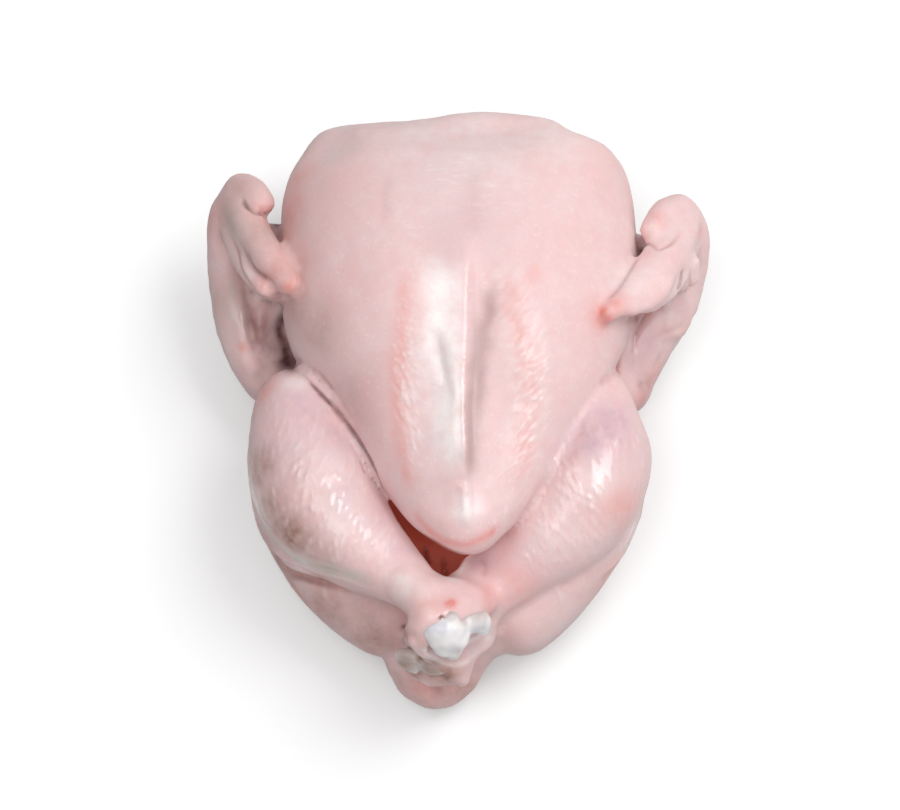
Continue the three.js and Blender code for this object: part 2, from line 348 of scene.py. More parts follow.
# %% Where the rolls lie
LEFT_HOCK = ((-2.0, -95.3, 66.0), (0.55, -0.77, 0.33))  # a point of its face in mm, and its normal
RIGHT_HOCK = ((-9.0, -102.3, 50.0), (-0.35, -0.60, 0.72))
# The shank bones' middle lines in mm, and how thick the plug round them is.
PLUGS = [
    [(-54.5, -40.3, 50, 6), (-40.5, -57.3, 53, 6), (-24.5, -70.3, 56, 6), (-14, -79.3, 60, 7.5),
     (-7, -88.3, 63, 9), (-5.6, -90.3, 63.9, 7.6)],
    [(48, -37.3, 48.5, 6), (37.5, -54.3, 48.5, 6), (25, -67.3, 47.5, 6), (12, -77.8, 45.5, 7.5),
     (-0.5, -91.8, 42, 9), (-6.5, -99.3, 40.2, 10)],
]
# Rows of (across, down, lift above the plane in mm, radius in mm).
LEFT_RIMS = [
    # the thick rim under the joint head, and the pad at its right end
    [(414, 640, -3.5, 3.4), (421, 649, -2.5, 3.2), (433, 656, -1.2, 2.8), (446, 661, -0.4, 2.6),
     (458, 662, -0.2, 2.7), (468, 657, -0.6, 2.8), (477, 650, -1.0, 3.0), (486, 643, -1.5, 3.2),
     (489, 633, -3.0, 3.6), (487, 622, -4.5, 4.0)],
    # the round end of the cuff, which closes in on the joint head from above and fills the space behind it
    [(419, 628, -6.5, 6.0), (430, 616, -6.0, 6.5), (443, 609, -5.5, 6.8), (457, 604, -5.5, 6.8),
     (471, 604, -6.0, 6.0)],
    [(430, 640, -5.8, 6.5), (446, 638, -5.9, 7.0), (462, 634, -5.9, 7.0), (475, 628, -5.7, 6.0)],
    [(461, 648, -1.5, 2.8), (469, 642, -0.4, 2.6), (477, 636, -0.8, 2.6)],
]
RIGHT_RIMS = [
    # the mass of skin and gristle under the right joint head, and the fold along its lower edge
    [(409, 661, -4.5, 4.5), (426, 668, -5.5, 6.6), (444, 667, -5.5, 6.6), (458, 660, -5.0, 5.2)],
    [(417, 673, -1.8, 2.4), (425, 678, -1.4, 2.8), (435, 681, -1.4, 3.2), (446, 679, -1.6, 3.0),
     (457, 671, -1.6, 2.8)],
]
# Rows of (across, down, height above the table in mm, radius in mm).
ROLLS_AT_HEIGHT = [
    # the right ankle's skin, which closes the cavity's mouth and climbs to the left hock, and last the left
    # leg's shaft, where it swells into that hock
    [(447, 583, 49.0, 4.0), (455, 583, 49.0, 4.4), (465, 583, 49.0, 5.0), (480, 582, 48.8, 5.2),
     (491, 577, 48.8, 5.0)],
    [(459, 577, 48.8, 3.6), (472, 575, 49.2, 4.6), (486, 570, 49.2, 5.0), (498, 561, 49.2, 5.0)],
    [(466, 566, 48.6, 3.2), (477, 562, 48.8, 4.4), (489, 556, 48.8, 4.8), (501, 547, 48.8, 4.6)],
    [(466, 600, 47.0, 6.0), (480, 598, 47.0, 6.5), (494, 594, 47.0, 6.5)],
    [(448, 587, 54.0, 5.0), (461, 590, 55.0, 5.5), (475, 594, 53.0, 5.0)],
    [(444, 589, 59.0, 5.0), (457, 593, 61.5, 5.5), (469, 598, 58.5, 5.0)],
    [(448, 592, 62.5, 6.5), (459, 594, 64.0, 7.0), (471, 599, 61.5, 6.5), (483, 604, 57.0, 6.0)],
    [(390, 572, 59.0, 8.0), (403, 582, 61.8, 8.5), (416, 592, 65.0, 9.0), (427, 601, 68.0, 9.5),
     (440, 603, 68.5, 9.5)],
    # the right wrist: the hollow under the hand, and three folds over it
    [(684, 272, 58.0, 5.0), (687, 284, 52.0, 5.0), (688, 296, 45.5, 4.5), (686, 312, 40.5, 4.5),
     (680, 330, 37.0, 4.5)],
    [(680, 266, 68.0, 2.0), (679, 280, 62.5, 2.2), (677, 294, 54.0, 2.2), (676, 310, 45.5, 2.2),
     (672, 328, 41.0, 2.0)],
    [(687, 264, 66.0, 2.0), (687, 279, 60.0, 2.2), (686, 295, 51.0, 2.2), (685, 312, 43.5, 2.2),
     (680, 332, 40.0, 2.0)],
    [(695, 262, 62.0, 2.2), (695, 277, 57.0, 2.4), (694, 294, 49.5, 2.4), (692, 312, 42.0, 2.4),
     (686, 334, 38.5, 2.2)],
]
# Rows of (across, down, rise above the skin in mm, radius in mm).
ROLLS_ON_SKIN = [
    # the left drumstick's skin, which bulges against the breast
    [(306, 383, 1.4, 4.0), (325, 403, 1.6, 4.2), (345, 428, 1.3, 4.4), (362, 452, 0.6, 4.6),
     (375, 476, -0.4, 4.6), (383, 490, -1.6, 4.2)],
    # the left hand's quill lobe and tip, and the edge of the forearm
    [(236, 246, 0.8, 2.8), (244, 263, 1.3, 3.2), (254, 279, 1.5, 3.6), (267, 291, 1.3, 3.6),
     (281, 295, 1.0, 3.4)],
    [(238, 294, 0.5, 3.0), (240, 325, 0.8, 3.0), (246, 358, 0.8, 3.0), (257, 384, 0.5, 3.0)],
    # the right hand's lower side
    [(668, 278, 0.8, 3.4), (660, 292, 1.2, 3.6), (648, 302, 1.2, 3.6), (632, 309, 0.8, 3.2)],
]
print("rims:", len(LEFT_RIMS) + len(RIGHT_RIMS), "other rolls:", len(ROLLS_AT_HEIGHT) + len(ROLLS_ON_SKIN))

# %% Strings of balls
BALL_STEP = 0.45  # from ball to ball along a string, as a share of its thinnest ball's radius


def string_of_balls(rows_of_balls, name):
    """One object of overlapping balls along smooth lines; each row is x, y, z and radius in mm."""
    made = []
    for row in rows_of_balls:
        line = smooth_line(row, BALL_STEP * min(ball[3] for ball in row))
        for x, y, z, radius in line:
            bpy.ops.mesh.primitive_ico_sphere_add(subdivisions=3, radius=radius * MM,
                                                  location=(x * MM, y * MM, z * MM))
            made.append(bpy.context.object)
    pick(*made)
    bpy.ops.object.join()
    bpy.ops.object.transform_apply(location=True, rotation=True, scale=True)
    made[0].name = name
    return made[0]


def rolls_on_plane(rows_of_rolls, plane):
    """Balls whose middles are seen at these places, on planes that are lifted along their normal."""
    middle, facing = np.array(plane[0]), unit(np.array(plane[1]))
    return [[(*on_plane(a, d, middle + lift * facing, facing), radius) for a, d, lift, radius in row]
            for row in rows_of_rolls]


def rolls_at_height(rows_of_rolls):
    """Balls whose middles are seen at these places, at these heights."""
    return [[(*on_plane(a, d, (0, 0, height), (0, 0, 1)), radius) for a, d, height, radius in row]
            for row in rows_of_rolls]


def rolls_on_skin(rows_of_rolls):
    """Balls that stand out of the skin by a rise where it is seen at these places."""
    return [[(*(seen_at(a, d) + TO_CAMERA * (rise - radius)), radius) for a, d, rise, radius in row]
            for row in rows_of_rolls]


bpy.context.view_layer.update()
rolls = PLUGS + rolls_on_plane(LEFT_RIMS, LEFT_HOCK) + rolls_on_plane(RIGHT_RIMS, RIGHT_HOCK)
rolls += rolls_at_height(ROLLS_AT_HEIGHT) + rolls_on_skin(ROLLS_ON_SKIN)
pick(skin, string_of_balls(rolls, "rolls"))
bpy.ops.object.join()
print("rolls:", len(rolls), "faces:", len(skin.data.polygons))

# %% [markdown]
# A voxel remesh turns it all into one even net of small faces, which can be modelled like clay.

# %% Close the skin
SKIN_VOXEL = 1.4 * MM
SKIN_SMOOTHING = 6  # rounds, which melt the steps of the voxels

finish_with(skin, "REMESH", mode="VOXEL", voxel_size=SKIN_VOXEL)
finish_with(skin, "SMOOTH", factor=0.5, iterations=SKIN_SMOOTHING)
print("skin faces:", len(skin.data.polygons))

# %% [markdown]
# ## Tools for relief
#
# Relief is easier to describe with numbers than with a brush: a groove is a line and a depth. These
# tools read the mesh's points as rows of millimetres, move them along their normals and write them back.

# %% Reading and moving points


def rows(source, name):
    """Vectors of a mesh, such as its points' places or normals, as rows."""
    values = np.empty(len(source) * 3)
    source.foreach_get(name, values)
    return values.reshape(-1, 3)


def step(low, high, values):
    """Rises smoothly from 0 to 1 between low and high."""
    t = np.clip((values - low) / (high - low), 0, 1)
    return t * t * (3 - 2 * t)


def bell(distance, width):
    """1 at distance 0, falling smoothly to almost nothing at twice the width."""
    return np.exp(-((distance / width) ** 2))


class Clay:
    """A mesh's points, in millimetres, that can be pushed in and out."""

    def __init__(self, piece):
        self.piece = piece
        edges = np.empty(len(piece.data.edges) * 2, int)
        piece.data.edges.foreach_get("vertices", edges)
        self.ends = edges.reshape(-1, 2)
        self.count = len(piece.data.vertices)
        self.neighbours = np.bincount(self.ends.ravel(), minlength=self.count)
        self.read()

    def read(self):
        """Reads the places and normals from the mesh."""
        self.places = rows(self.piece.data.vertices, "co") / MM
        self.normals = rows(self.piece.data.vertex_normals, "vector")

    def around(self, values):
        """The mean of each point's neighbours."""
        a, b = self.ends.T
        total = np.bincount(a, values[b], self.count) + np.bincount(b, values[a], self.count)
        return total / self.neighbours

    def blurred(self, values, times):
        """These values, evened out among neighbours."""
        for _ in range(times):
            values = (values + self.around(values)) / 2
        return values

    def hollowness(self):
        """How far each point's neighbours stand above its tangent plane, in mm."""
        middle = np.stack([self.around(self.places[:, axis]) for axis in range(3)], axis=1)
        return np.sum((middle - self.places) * self.normals, axis=1)

    def write(self):
        """Writes the places to the mesh, and reads its new normals."""
        self.piece.data.vertices.foreach_set("co", (self.places * MM).ravel())
        self.piece.data.update()
        self.read()

    def push(self, amount):
        """Moves each point out along its normal by an amount in mm."""
        self.places += self.normals * amount[:, None]
        self.write()


def weight_group(piece, name, weights):
    """A vertex group with one weight a point."""
    group = piece.vertex_groups.new(name=name)
    for index in np.flatnonzero(weights > 0.001).tolist():
        group.add((index,), float(weights[index]), "REPLACE")


print("skin points:", len(skin.data.vertices))

# %% [markdown]
# ## Clear the breast and the neck
#
# The breastbone's keel is the bird's sharpest line: a crest with a drop on its right and a long slope on
# its left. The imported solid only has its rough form. It is smoothed away here, and modelled again below
# with its true profile. The roll of neck skin at the front flows into the breast without a fold, so that
# region is smoothed too.

# %% Smooth the keel and the neck
# Places and reaches are in mm. A pair is where a zone starts to fade, in or out, and where the fade ends.
KEEL_MIDDLE = 2.0
KEEL_REACH = (24, 34)  # to each side
KEEL_TIP = (-52, -40)  # along y
KEEL_FRONT = (70, 95)
KEEL_LOWEST = 74
KEEL_SMOOTHING = 130
NECK_FRONT = (76, 90)  # along y
NECK_HEIGHT = (50, 60)
NECK_SMOOTHING = 90
HOCK_REACH = (17, 22)  # round its point
HOCK_END = -84  # along y
HOCK_SMOOTHING = 9
# Where the left leg swells into its hock, and where the right ankle's skin climbs to it: place and reach.
RAMPS = [((-12.0, -83.0, 72.0), (8, 15)), ((1.5, -78.5, 58.0), (11, 18))]
RAMP_SMOOTHING = 90
FOLD_HOLLOWS = (0.02, 0.12)  # of hollowness
FOLD_SMOOTHING = 18


def smooth_zone(name, weights, iterations):
    """Smooths the skin where these weights are high."""
    weight_group(skin, name, weights)
    finish_with(skin, "SMOOTH", factor=0.5, iterations=iterations, vertex_group=name)
    skin.vertex_groups.clear()


places = rows(skin.data.vertices, "co") / MM
x, y, z = places.T
keel_zone = ((1 - step(*KEEL_REACH, np.abs(x - KEEL_MIDDLE))) * step(*KEEL_TIP, y)
             * (1 - step(*KEEL_FRONT, y)) * (z > KEEL_LOWEST))
neck_zone = step(*NECK_FRONT, y) * step(*NECK_HEIGHT, z)
smooth_zone("keel zone", keel_zone, KEEL_SMOOTHING)
smooth_zone("neck zone", neck_zone, NECK_SMOOTHING)
hock_gap = np.linalg.norm(places - np.array(LEFT_HOCK[0]), axis=1)
smooth_zone("hock rim", (1 - step(*HOCK_REACH, hock_gap)) * (y < HOCK_END), HOCK_SMOOTHING)
ramp_zone = np.maximum.reduce([1 - step(*reach, np.linalg.norm(places - np.array(middle), axis=1))
                               for middle, reach in RAMPS])
smooth_zone("ankle ramps", ramp_zone, RAMP_SMOOTHING)
net = Clay(skin)
smooth_zone("folds", step(*FOLD_HOLLOWS, net.blurred(net.hollowness(), 2)), FOLD_SMOOTHING)
print("smoothed points:", int((keel_zone > 0.5).sum()), int((neck_zone > 0.5).sum()))

# %% [markdown]
# ## Few faces where nobody looks, many where feathers grew
#
# The underside and the inside of the bird keep a small part of their faces. A decimation with a vertex
# group takes the rest away where nobody looks.

# %% Thin out what is hidden
# The body cavity's middle line in mm, and its radius along y.
CAVITY_AXIS = [(-3.5, 45, 42), (-4.5, 13, 41), (-5.5, -21, 41), (-6.5, -51, 42), (-7.5, -68, 46),
               (-7.5, -76, 56)]
CAVITY_RADIUS = [(-80, 15), (-69, 17.5), (-50, 24), (-20, 29), (14, 28), (46, 19)]
CHAMBER_SLACK = 3  # mm over which the chamber's wall ends
CHAMBER_TAIL = -52  # mm along y: nearer to the tail, the chamber is seen
HIDDEN_BELOW = (9, 17)  # mm above the table: hidden where the skin faces down, and no longer hidden
KEPT_HIDDEN = 0.2  # share of the hidden faces that stays
DOWNWARD = -0.1  # a normal whose z is below this faces down
CAVITY_FACING = (0.1, 0.5)  # how far the cavity's wall faces its middle line: too little, and fully


def at(table, values):
    """Reads a table of (place, value) rows at some places."""
    xs, ys = zip(*table)
    return np.interp(values, xs, ys)


def cavity_share(places, normals, slack):
    """1 on the wall of the body cavity, whose skin faces its middle line."""
    line = smooth_line(CAVITY_AXIS, 4)
    gaps = line[None, :, :] - places[:, None, :]
    nearest = np.linalg.norm(gaps, axis=2).argmin(axis=1)
    gap = gaps[np.arange(len(places)), nearest]
    distance = np.linalg.norm(gap, axis=1)
    facing = np.sum(unit(gap) * normals, axis=1)
    inside = 1 - step(0, slack, distance - at(CAVITY_RADIUS, places[:, 1]))
    return inside * step(*CAVITY_FACING, facing)


places, normals = rows(skin.data.vertices, "co") / MM, rows(skin.data.vertex_normals, "vector")
underside = (1 - step(*HIDDEN_BELOW, places[:, 2])) * (normals[:, 2] < DOWNWARD)
chamber = cavity_share(places, normals, CHAMBER_SLACK) * (places[:, 1] > CHAMBER_TAIL)
hidden = np.clip(np.maximum(underside, chamber), 0, 1)
weight_group(skin, "hidden", hidden)
finish_with(skin, "DECIMATE", ratio=1 - (1 - KEPT_HIDDEN) * float(hidden.mean()), vertex_group="hidden")
skin.vertex_groups.clear()
print("hidden share:", round(float(hidden.mean()), 2), "faces left:", len(skin.data.polygons))

# %% [markdown]
# Feather follicles are bumps only 1 to 2 mm wide, too fine for the net of faces, so the faces that show
# the drumsticks, the two feather tracts of the breast, the hocks and the hands of the wings are divided
# once more.

# %% Refine what shows follicles
FINE_FACING = 0.12  # how far a fine point at least faces the camera
FINE_HEIGHT = 20  # mm above the table
# Outlines in the picture.
FINE_REGIONS = {
    "breast tracts": [(385, 245), (550, 245), (556, 420), (522, 512), (470, 548), (420, 522), (388, 450)],
    "left drumstick": [(240, 440), (262, 385), (303, 362), (356, 412), (400, 490), (452, 562), (500, 600),
                       (500, 650), (470, 690), (385, 690), (380, 640), (300, 590), (250, 530)],
    "right drumstick": [(592, 385), (655, 385), (660, 460), (655, 510), (625, 560), (560, 610),
                        (500, 650), (440, 590), (490, 528), (548, 455)],
    "left hand": [(208, 165), (278, 165), (306, 300), (240, 305)],
    "right hand": [(642, 185), (714, 185), (712, 300), (590, 330), (595, 300)],
}


def in_picture(places):
    """Where points, in mm, are seen in the picture, as across and down."""
    gap = places - np.array(camera.location) / MM
    depth = gap @ np.array(VIEW_AHEAD)
    scale = CAMERA_DISTANCE / VIEW_WIDTH * PICTURE_WIDTH / depth
    return np.stack([PICTURE_WIDTH / 2 + gap @ np.array(VIEW_RIGHT) * scale,
                     PICTURE_HEIGHT / 2 - gap @ np.array(VIEW_UP) * scale], 1)


def within(pixels, outline):
    """Which places of the picture lie within an outline."""
    inside = np.zeros(len(pixels), bool)
    for (x0, y0), (x1, y1) in zip(outline, outline[1:] + outline[:1]):
        crosses = (y0 > pixels[:, 1]) != (y1 > pixels[:, 1])
        at_x = x0 + (pixels[:, 1] - y0) * (x1 - x0) / ((y1 - y0) or 1e-9)
        inside ^= crosses & (pixels[:, 0] < at_x)
    return inside


def refine(piece, wanted):
    """Subdivides once the faces whose points are all wanted."""
    pick(piece)
    bpy.ops.object.mode_set(mode="EDIT")
    bpy.ops.mesh.select_mode(type="VERT")
    bpy.ops.mesh.select_all(action="DESELECT")
    bpy.ops.object.mode_set(mode="OBJECT")
    piece.data.vertices.foreach_set("select", wanted)
    bpy.ops.object.mode_set(mode="EDIT")
    bpy.ops.mesh.select_mode(type="FACE")
    bpy.ops.mesh.subdivide(number_cuts=1)
    bpy.ops.mesh.quads_convert_to_tris()
    bpy.ops.object.mode_set(mode="OBJECT")


places, normals = rows(skin.data.vertices, "co") / MM, rows(skin.data.vertex_normals, "vector")
pixels = in_picture(places)
wanted = np.zeros(len(places), bool)
for outline in FINE_REGIONS.values():
    wanted |= within(pixels, outline)
wanted &= (normals @ TO_CAMERA > FINE_FACING) & (places[:, 2] > FINE_HEIGHT)
refine(skin, wanted)
clay = Clay(skin)
tree = kdtree.KDTree(clay.count)
for index, place in enumerate(clay.places):
    tree.insert(place, index)
tree.balance()
print("skin points:", clay.count)

# %% [markdown]
# ## Lines along the skin
#
# Grooves, ridges and bands of colour follow lines. So each point near a line has to know how far along
# the line it lies and how far to its side. A brush in a paint program works the same way.

# %% Distances to a line on the skin
LINE_REACH = 2.5  # a groove or a band is followed to this many times its half width
# A shallow hollow beside the crest of the breast, in mm, from the neck's side to the tip.
LEFT_HOLLOW = [(-9.8, 21, 94), (-7.1, 9.7, 91.9), (-4.8, -1.7, 89.8), (-2.5, -12.4, 88.3)]
LEFT_HOLLOW_REACH = 8


def beside(places, normals, marks, reach):
    """For the points near a line: their numbers, their share of its length, and how far to its left they lie.

    Distances are measured along the surface: what lies along a point's own normal doesn't count.
    """
    line = smooth_line(marks)
    low, high = line.min(axis=0) - reach, line.max(axis=0) + reach
    near = np.flatnonzero(((places > low) & (places < high)).all(axis=1))
    gaps = places[near][:, None, :] - line[None, :, :]
    nearest = np.linalg.norm(gaps, axis=2).argmin(axis=1)
    gap = gaps[np.arange(len(near)), nearest]
    normal = normals[near]
    gap -= np.sum(gap * normal, axis=1)[:, None] * normal
    ahead = unit(np.gradient(line, axis=0))[nearest]
    left = unit(np.cross(normal, ahead))
    side = np.sum(gap * left, axis=1)
    distance = np.linalg.norm(gap, axis=1)
    kept = distance < reach
    signed = np.where(side < 0, -distance, distance)
    return near[kept], (nearest / (len(line) - 1))[kept], signed[kept]


beside_hollow = beside(clay.places, clay.normals, LEFT_HOLLOW, LEFT_HOLLOW_REACH)
print("points beside the hollow's line:", len(beside_hollow[0]))

# %% [markdown]
# ## The keel
#
# The crest stands between the two fillets. On its left the skin slopes away as evenly as a roof, which
# is why it mirrors one long gleam, and only a narrow hollow crosses it. On its right it drops into a soft
# groove. The profile across the keel is written with a few bells, and its lines bend as they run from the
# neck to the tip.

# %% Model the keel
# Tables along y, in mm: the x of the crest and of the groove, and the groove's depth and half width.
KEEL_LINE = [(-60, 1.8), (-34, 1.7), (-13, 1.3), (1, 1.7), (16, 2.1), (42, 2.8), (90, 3.2)]
GROOVE_LINE = [(-60, 4), (-36, 5.1), (-13, 5.4), (-2, 6.6), (9, 8.4), (21, 10), (40, 11.3), (90, 14)]
GROOVE_DEPTH = [(-52, 0), (-36, 0.4), (-20, 0.9), (0, 1.2), (20, 0.9), (38, 0.4), (55, 0)]
GROOVE_WIDTH = [(-40, 3.8), (0, 4.6), (40, 7)]
CREST_WIDTH = 2.6
CREST_TIP = (-52, -34)  # along y, where the crest rises
CREST_FRONT = (36, 66)  # along y, where it sinks into the neck's side
UPPER_HEIGHT = 70
UPPER_FACING = 0.3  # the upper side's normals have a z above this
ROOF_WIDTH = 18.0
ROOF_RISE = 1.5
LEFT_HOLLOW_DEPTH = 0.35
LEFT_HOLLOW_WIDTH = 2.2

x, y, z = clay.places.T
upper = (z > UPPER_HEIGHT) & (clay.normals[:, 2] > UPPER_FACING)
across = x - at(KEEL_LINE, y)
fade = step(*CREST_TIP, y) * (1 - step(*CREST_FRONT, y)) * upper
roof = np.clip(1 - np.abs(across) / ROOF_WIDTH, 0, 1)
amount = fade * ROOF_RISE * np.where(across < 0, roof, bell(across, CREST_WIDTH))
amount -= upper * at(GROOVE_DEPTH, y) * bell(x - at(GROOVE_LINE, y), at(GROOVE_WIDTH, y))
near, share, side = beside_hollow
amount[near] -= LEFT_HOLLOW_DEPTH * bell(side, LEFT_HOLLOW_WIDTH) * np.sin(np.pi * share)
clay.push(clay.blurred(amount, 5))
print("crest:", round(float(amount.max()), 2), "mm, groove:", round(float(amount.min()), 2), "mm")

# %% [markdown]
# ## Folds, creases and lumps
#
# Two forms of soft skin that touch leave a valley, and its own weight presses it deeper. So each point
# is pushed in by how hollow its surroundings are. A slow noise gives the uneven swell of fat and meat
# under the skin, and a few wide swells bring the outlines of the shoulders, the right forearm and the
# tail to where they belong.

# %% Deepen the folds, add the lumps
FOLD_DEPTH = 1.3  # mm, at most
LUMP_SIZE = 26.0
LUMP_HEIGHT = 0.6
SMALL_LUMP_SIZE = 9.0
SMALL_LUMP_HEIGHT = 0.18
WING_LUMP_SIZE = 5.5
WING_LUMP_HEIGHT = 0.3
WING_FROM = (76, 84)  # mm to each side: where the wings' lumps begin
HAND_SIDE = (70, 76)  # the hands begin this far out, this far forward and this high, in mm
HAND_FRONT = (14, 24)
HAND_HEIGHT = (50, 58)
FOLD_FROM = (0.015, 0.09)  # mm of hollowness: no fold yet, and the deepest
ROLL_FRONT = (76, 88)  # the smooth roll of neck skin begins this far forward and this high, in mm
ROLL_HEIGHT = (56, 66)
# (marks in the picture, radius in mm, shift in mm); the hands stay where they are
SWELLS = {
    "left shoulder": ([(318, 130), (350, 118), (385, 116)], 13, (0.5, -3.6, -1.0)),
    "right shoulder": ([(556, 134), (575, 143), (596, 152)], 12, (0.5, 4.2, 1.0)),
    "right forearm": ([(704, 300), (694, 328), (680, 362), (664, 394)], 13, (-7.5, 0.6, 0.0)),
    "right wrist": ([(707, 280), (706, 300), (699, 322)], 9, (-2.8, 0.0, 0.0)),
    "tail's left side": ([(392, 690), (405, 702)], 7, (2.2, 2.0, 0.0)),
    "tail's tip": ([(450, 706), (464, 701)], 6, (0.0, 1.8, 0.0)),
    "tail's right side": ([(488, 684), (474, 698)], 8, (-2.8, 2.2, 0.0)),
    "between the ankles": ([(444, 594), (458, 594), (472, 600)], 7, (0.0, -0.6, -2.0)),
}


def noise_at(places, size, seed):
    """Smooth noise from about -1 to 1, with features of about a size in mm."""
    shift = Vector((seed * 31.7, seed * 17.3, seed * 7.9))
    return np.array([noise.noise(Vector(place) / size + shift) for place in places])


x, y, z = clay.places.T
hands = step(*HAND_HEIGHT, z) * step(*HAND_FRONT, y) * step(*HAND_SIDE, np.abs(x))
for marks, radius, shift in SWELLS.values():
    line = smooth_line(marks_at(*marks), 2)
    distance = np.linalg.norm(clay.places[:, None, :] - line[None, :, :], axis=2).min(axis=1)
    clay.places += (bell(distance, radius) * (1 - hands))[:, None] * np.array(shift)
hollow = clay.blurred(clay.hollowness(), 3)
smooth_front = step(*ROLL_FRONT, clay.places[:, 1]) * step(*ROLL_HEIGHT, clay.places[:, 2])
fold = step(*FOLD_FROM, hollow) * (1 - smooth_front) * (1 - fade)
clay.push(-FOLD_DEPTH * clay.blurred(fold, 1))
lumps = LUMP_HEIGHT * noise_at(clay.places, LUMP_SIZE, 1)
lumps += SMALL_LUMP_HEIGHT * noise_at(clay.places, SMALL_LUMP_SIZE, 2)
on_wings = step(*WING_FROM, np.abs(clay.places[:, 0]))
lumps += WING_LUMP_HEIGHT * noise_at(clay.places, WING_LUMP_SIZE, 6) * on_wings
clay.push(lumps)
print("points in folds:", int((fold > 0.5).sum()))

# %% [markdown]
# Named creases and ridges follow lines of marks: the folds between forms and at the hocks, the edges of
# the membrane that hangs over each thigh, and the small folds of the wings.

# %% Creases along lines
# name: (marks in the picture, depth in mm, half width in mm); a negative depth is a ridge
CREASES = {
    "left drumstick on breast": ([(300, 374), (318, 391), (336, 410), (350, 428), (363, 447), (374, 467),
                                  (381, 484)], 1.3, 0.9),
    "right drumstick on breast": ([(608, 402), (590, 430), (560, 465), (530, 505), (508, 532)], 0.3, 2.0),
    "left shoulder": ([(388, 170), (384, 200), (387, 228)], 0.3, 2.2),
    "wishbone": ([(472, 150), (472, 192), (472, 245)], 0.35, 4.5),
    "neck": ([(408, 112), (418, 118), (432, 121)], 0.5, 1.6),
    "breast tip": ([(465, 478), (466, 505), (467, 530)], -0.9, 2.2),
    "spine in the cavity": ([(443, 552), (443, 557), (443, 562), (444, 567), (444, 572),
                             (445, 577)], 1.4, 1.0),
    "rib in the cavity": ([(424, 546), (425, 551), (426, 556), (428, 561), (430, 566)], 1.2, 1.0),
    "tail": ([(438, 678), (437, 690), (436, 703)], 1.3, 1.8),
    "tail side": ([(392, 668), (398, 680), (405, 692)], 0.5, 2.2),
    "left rump": ([(262, 548), (280, 575), (300, 596), (314, 612)], 0.9, 1.8),
    "left rump roll": ([(322, 600), (318, 620), (326, 640)], 0.7, 2.4),
    "left hock back": ([(398, 618), (404, 630), (414, 642)], 0.9, 1.4),
    "left hock groove": ([(423, 630), (431, 644), (444, 656), (457, 659)], 0.9, 0.8),
    "right hock gap": ([(418, 659), (424, 667), (436, 675), (450, 672)], 1.2, 0.9),
    "right hock fold": ([(396, 664), (408, 672), (418, 681), (432, 689), (446, 687)], 0.8, 1.2),
    "left hock fold": ([(462, 646), (471, 640), (481, 634)], -0.7, 0.9),
    "hock pit": ([(438, 617), (441, 618), (444, 616)], 1.4, 0.8),
    "right ankle": ([(478, 556), (484, 566), (482, 578)], 0.5, 1.6),
    "veil edge left": ([(243, 452), (247, 485), (253, 512), (264, 537), (285, 558), (312, 570),
                        (340, 578), (368, 588), (386, 590)], -0.8, 1.0),
    "under the veil": ([(262, 547), (285, 568), (312, 580), (340, 588), (362, 596)], 1.8, 1.5),
    "veil groove": ([(252, 470), (258, 500), (270, 526), (292, 548), (325, 562), (355, 572)], 0.35, 1.0),
    "veil wrinkle 1": ([(250, 492), (256, 508), (265, 522)], 0.45, 0.7),
    "veil wrinkle 2": ([(257, 500), (263, 517), (273, 531)], 0.4, 0.7),
    "veil wrinkle 3": ([(300, 562), (322, 567), (345, 573)], 0.4, 0.7),
    "veil edge right": ([(655, 490), (648, 515), (634, 540), (617, 560), (596, 578)], -0.7, 1.0),
    "under the right veil": ([(650, 520), (636, 548), (618, 568), (596, 586)], 1.2, 1.4),
    "right knee fold": ([(584, 414), (582, 428), (574, 440), (562, 446)], 0.35, 1.1),
    "left thumb": ([(240, 196), (246, 206), (256, 213), (268, 214), (274, 212)], 1.2, 0.9),
    "left hand": ([(240, 240), (246, 256), (254, 269), (266, 278), (278, 286)], 0.9, 1.1),
    "left quill lobe": ([(229, 232), (237, 252), (242, 272), (252, 288), (264, 298),
                         (284, 302)], 1.0, 1.0),
    "left hand tip": ([(297, 268), (300, 282), (295, 296)], 0.7, 1.0),
    "left web": ([(247, 305), (250, 332), (256, 360), (267, 386)], 0.6, 1.1),
    "right thumb": ([(644, 243), (654, 247), (666, 246), (674, 240), (682, 228)], 1.0, 0.8),
    "right wrist fold 1": ([(683, 268), (681, 280), (677, 292)], 0.8, 0.8),
    "right wrist fold 2": ([(691, 266), (690, 280), (686, 292)], 0.8, 0.8),
    "right forearm": ([(680, 302), (681, 325), (675, 350), (666, 374)], 0.5, 0.9),
    "right forearm 2": ([(692, 305), (690, 328), (682, 350)], 0.5, 1.0),
    "right web": ([(664, 312), (666, 330), (661, 352), (652, 376)], 0.6, 1.0),
    "right hand edge": ([(614, 322), (634, 318), (652, 312), (664, 303)], 0.8, 1.0),
}


def carve(marks, depth, width, ends=0.25):
    """A groove along a line, which fades out over a share of its length at each end."""
    near, share, side = beside(clay.places, clay.normals, marks_at(*marks), width * LINE_REACH)
    fading = np.minimum(step(0, ends, share), 1 - step(1 - ends, 1, share))
    result = np.zeros(clay.count)
    result[near] = -depth * bell(side, width) * fading
    return result


creases = [carve(*crease) for crease in CREASES.values()]
clay.push(sum(creases))
print("creases:", len(CREASES))

# %% [markdown]
# ## Feather follicles
#
# Each plucked feather leaves a small bump, drawn out the way it grew. They stand in staggered rows. A
# loop walks along each tract and puts bumps across it, shifted a little at random, and each bump is
# pushed out of the points round it.

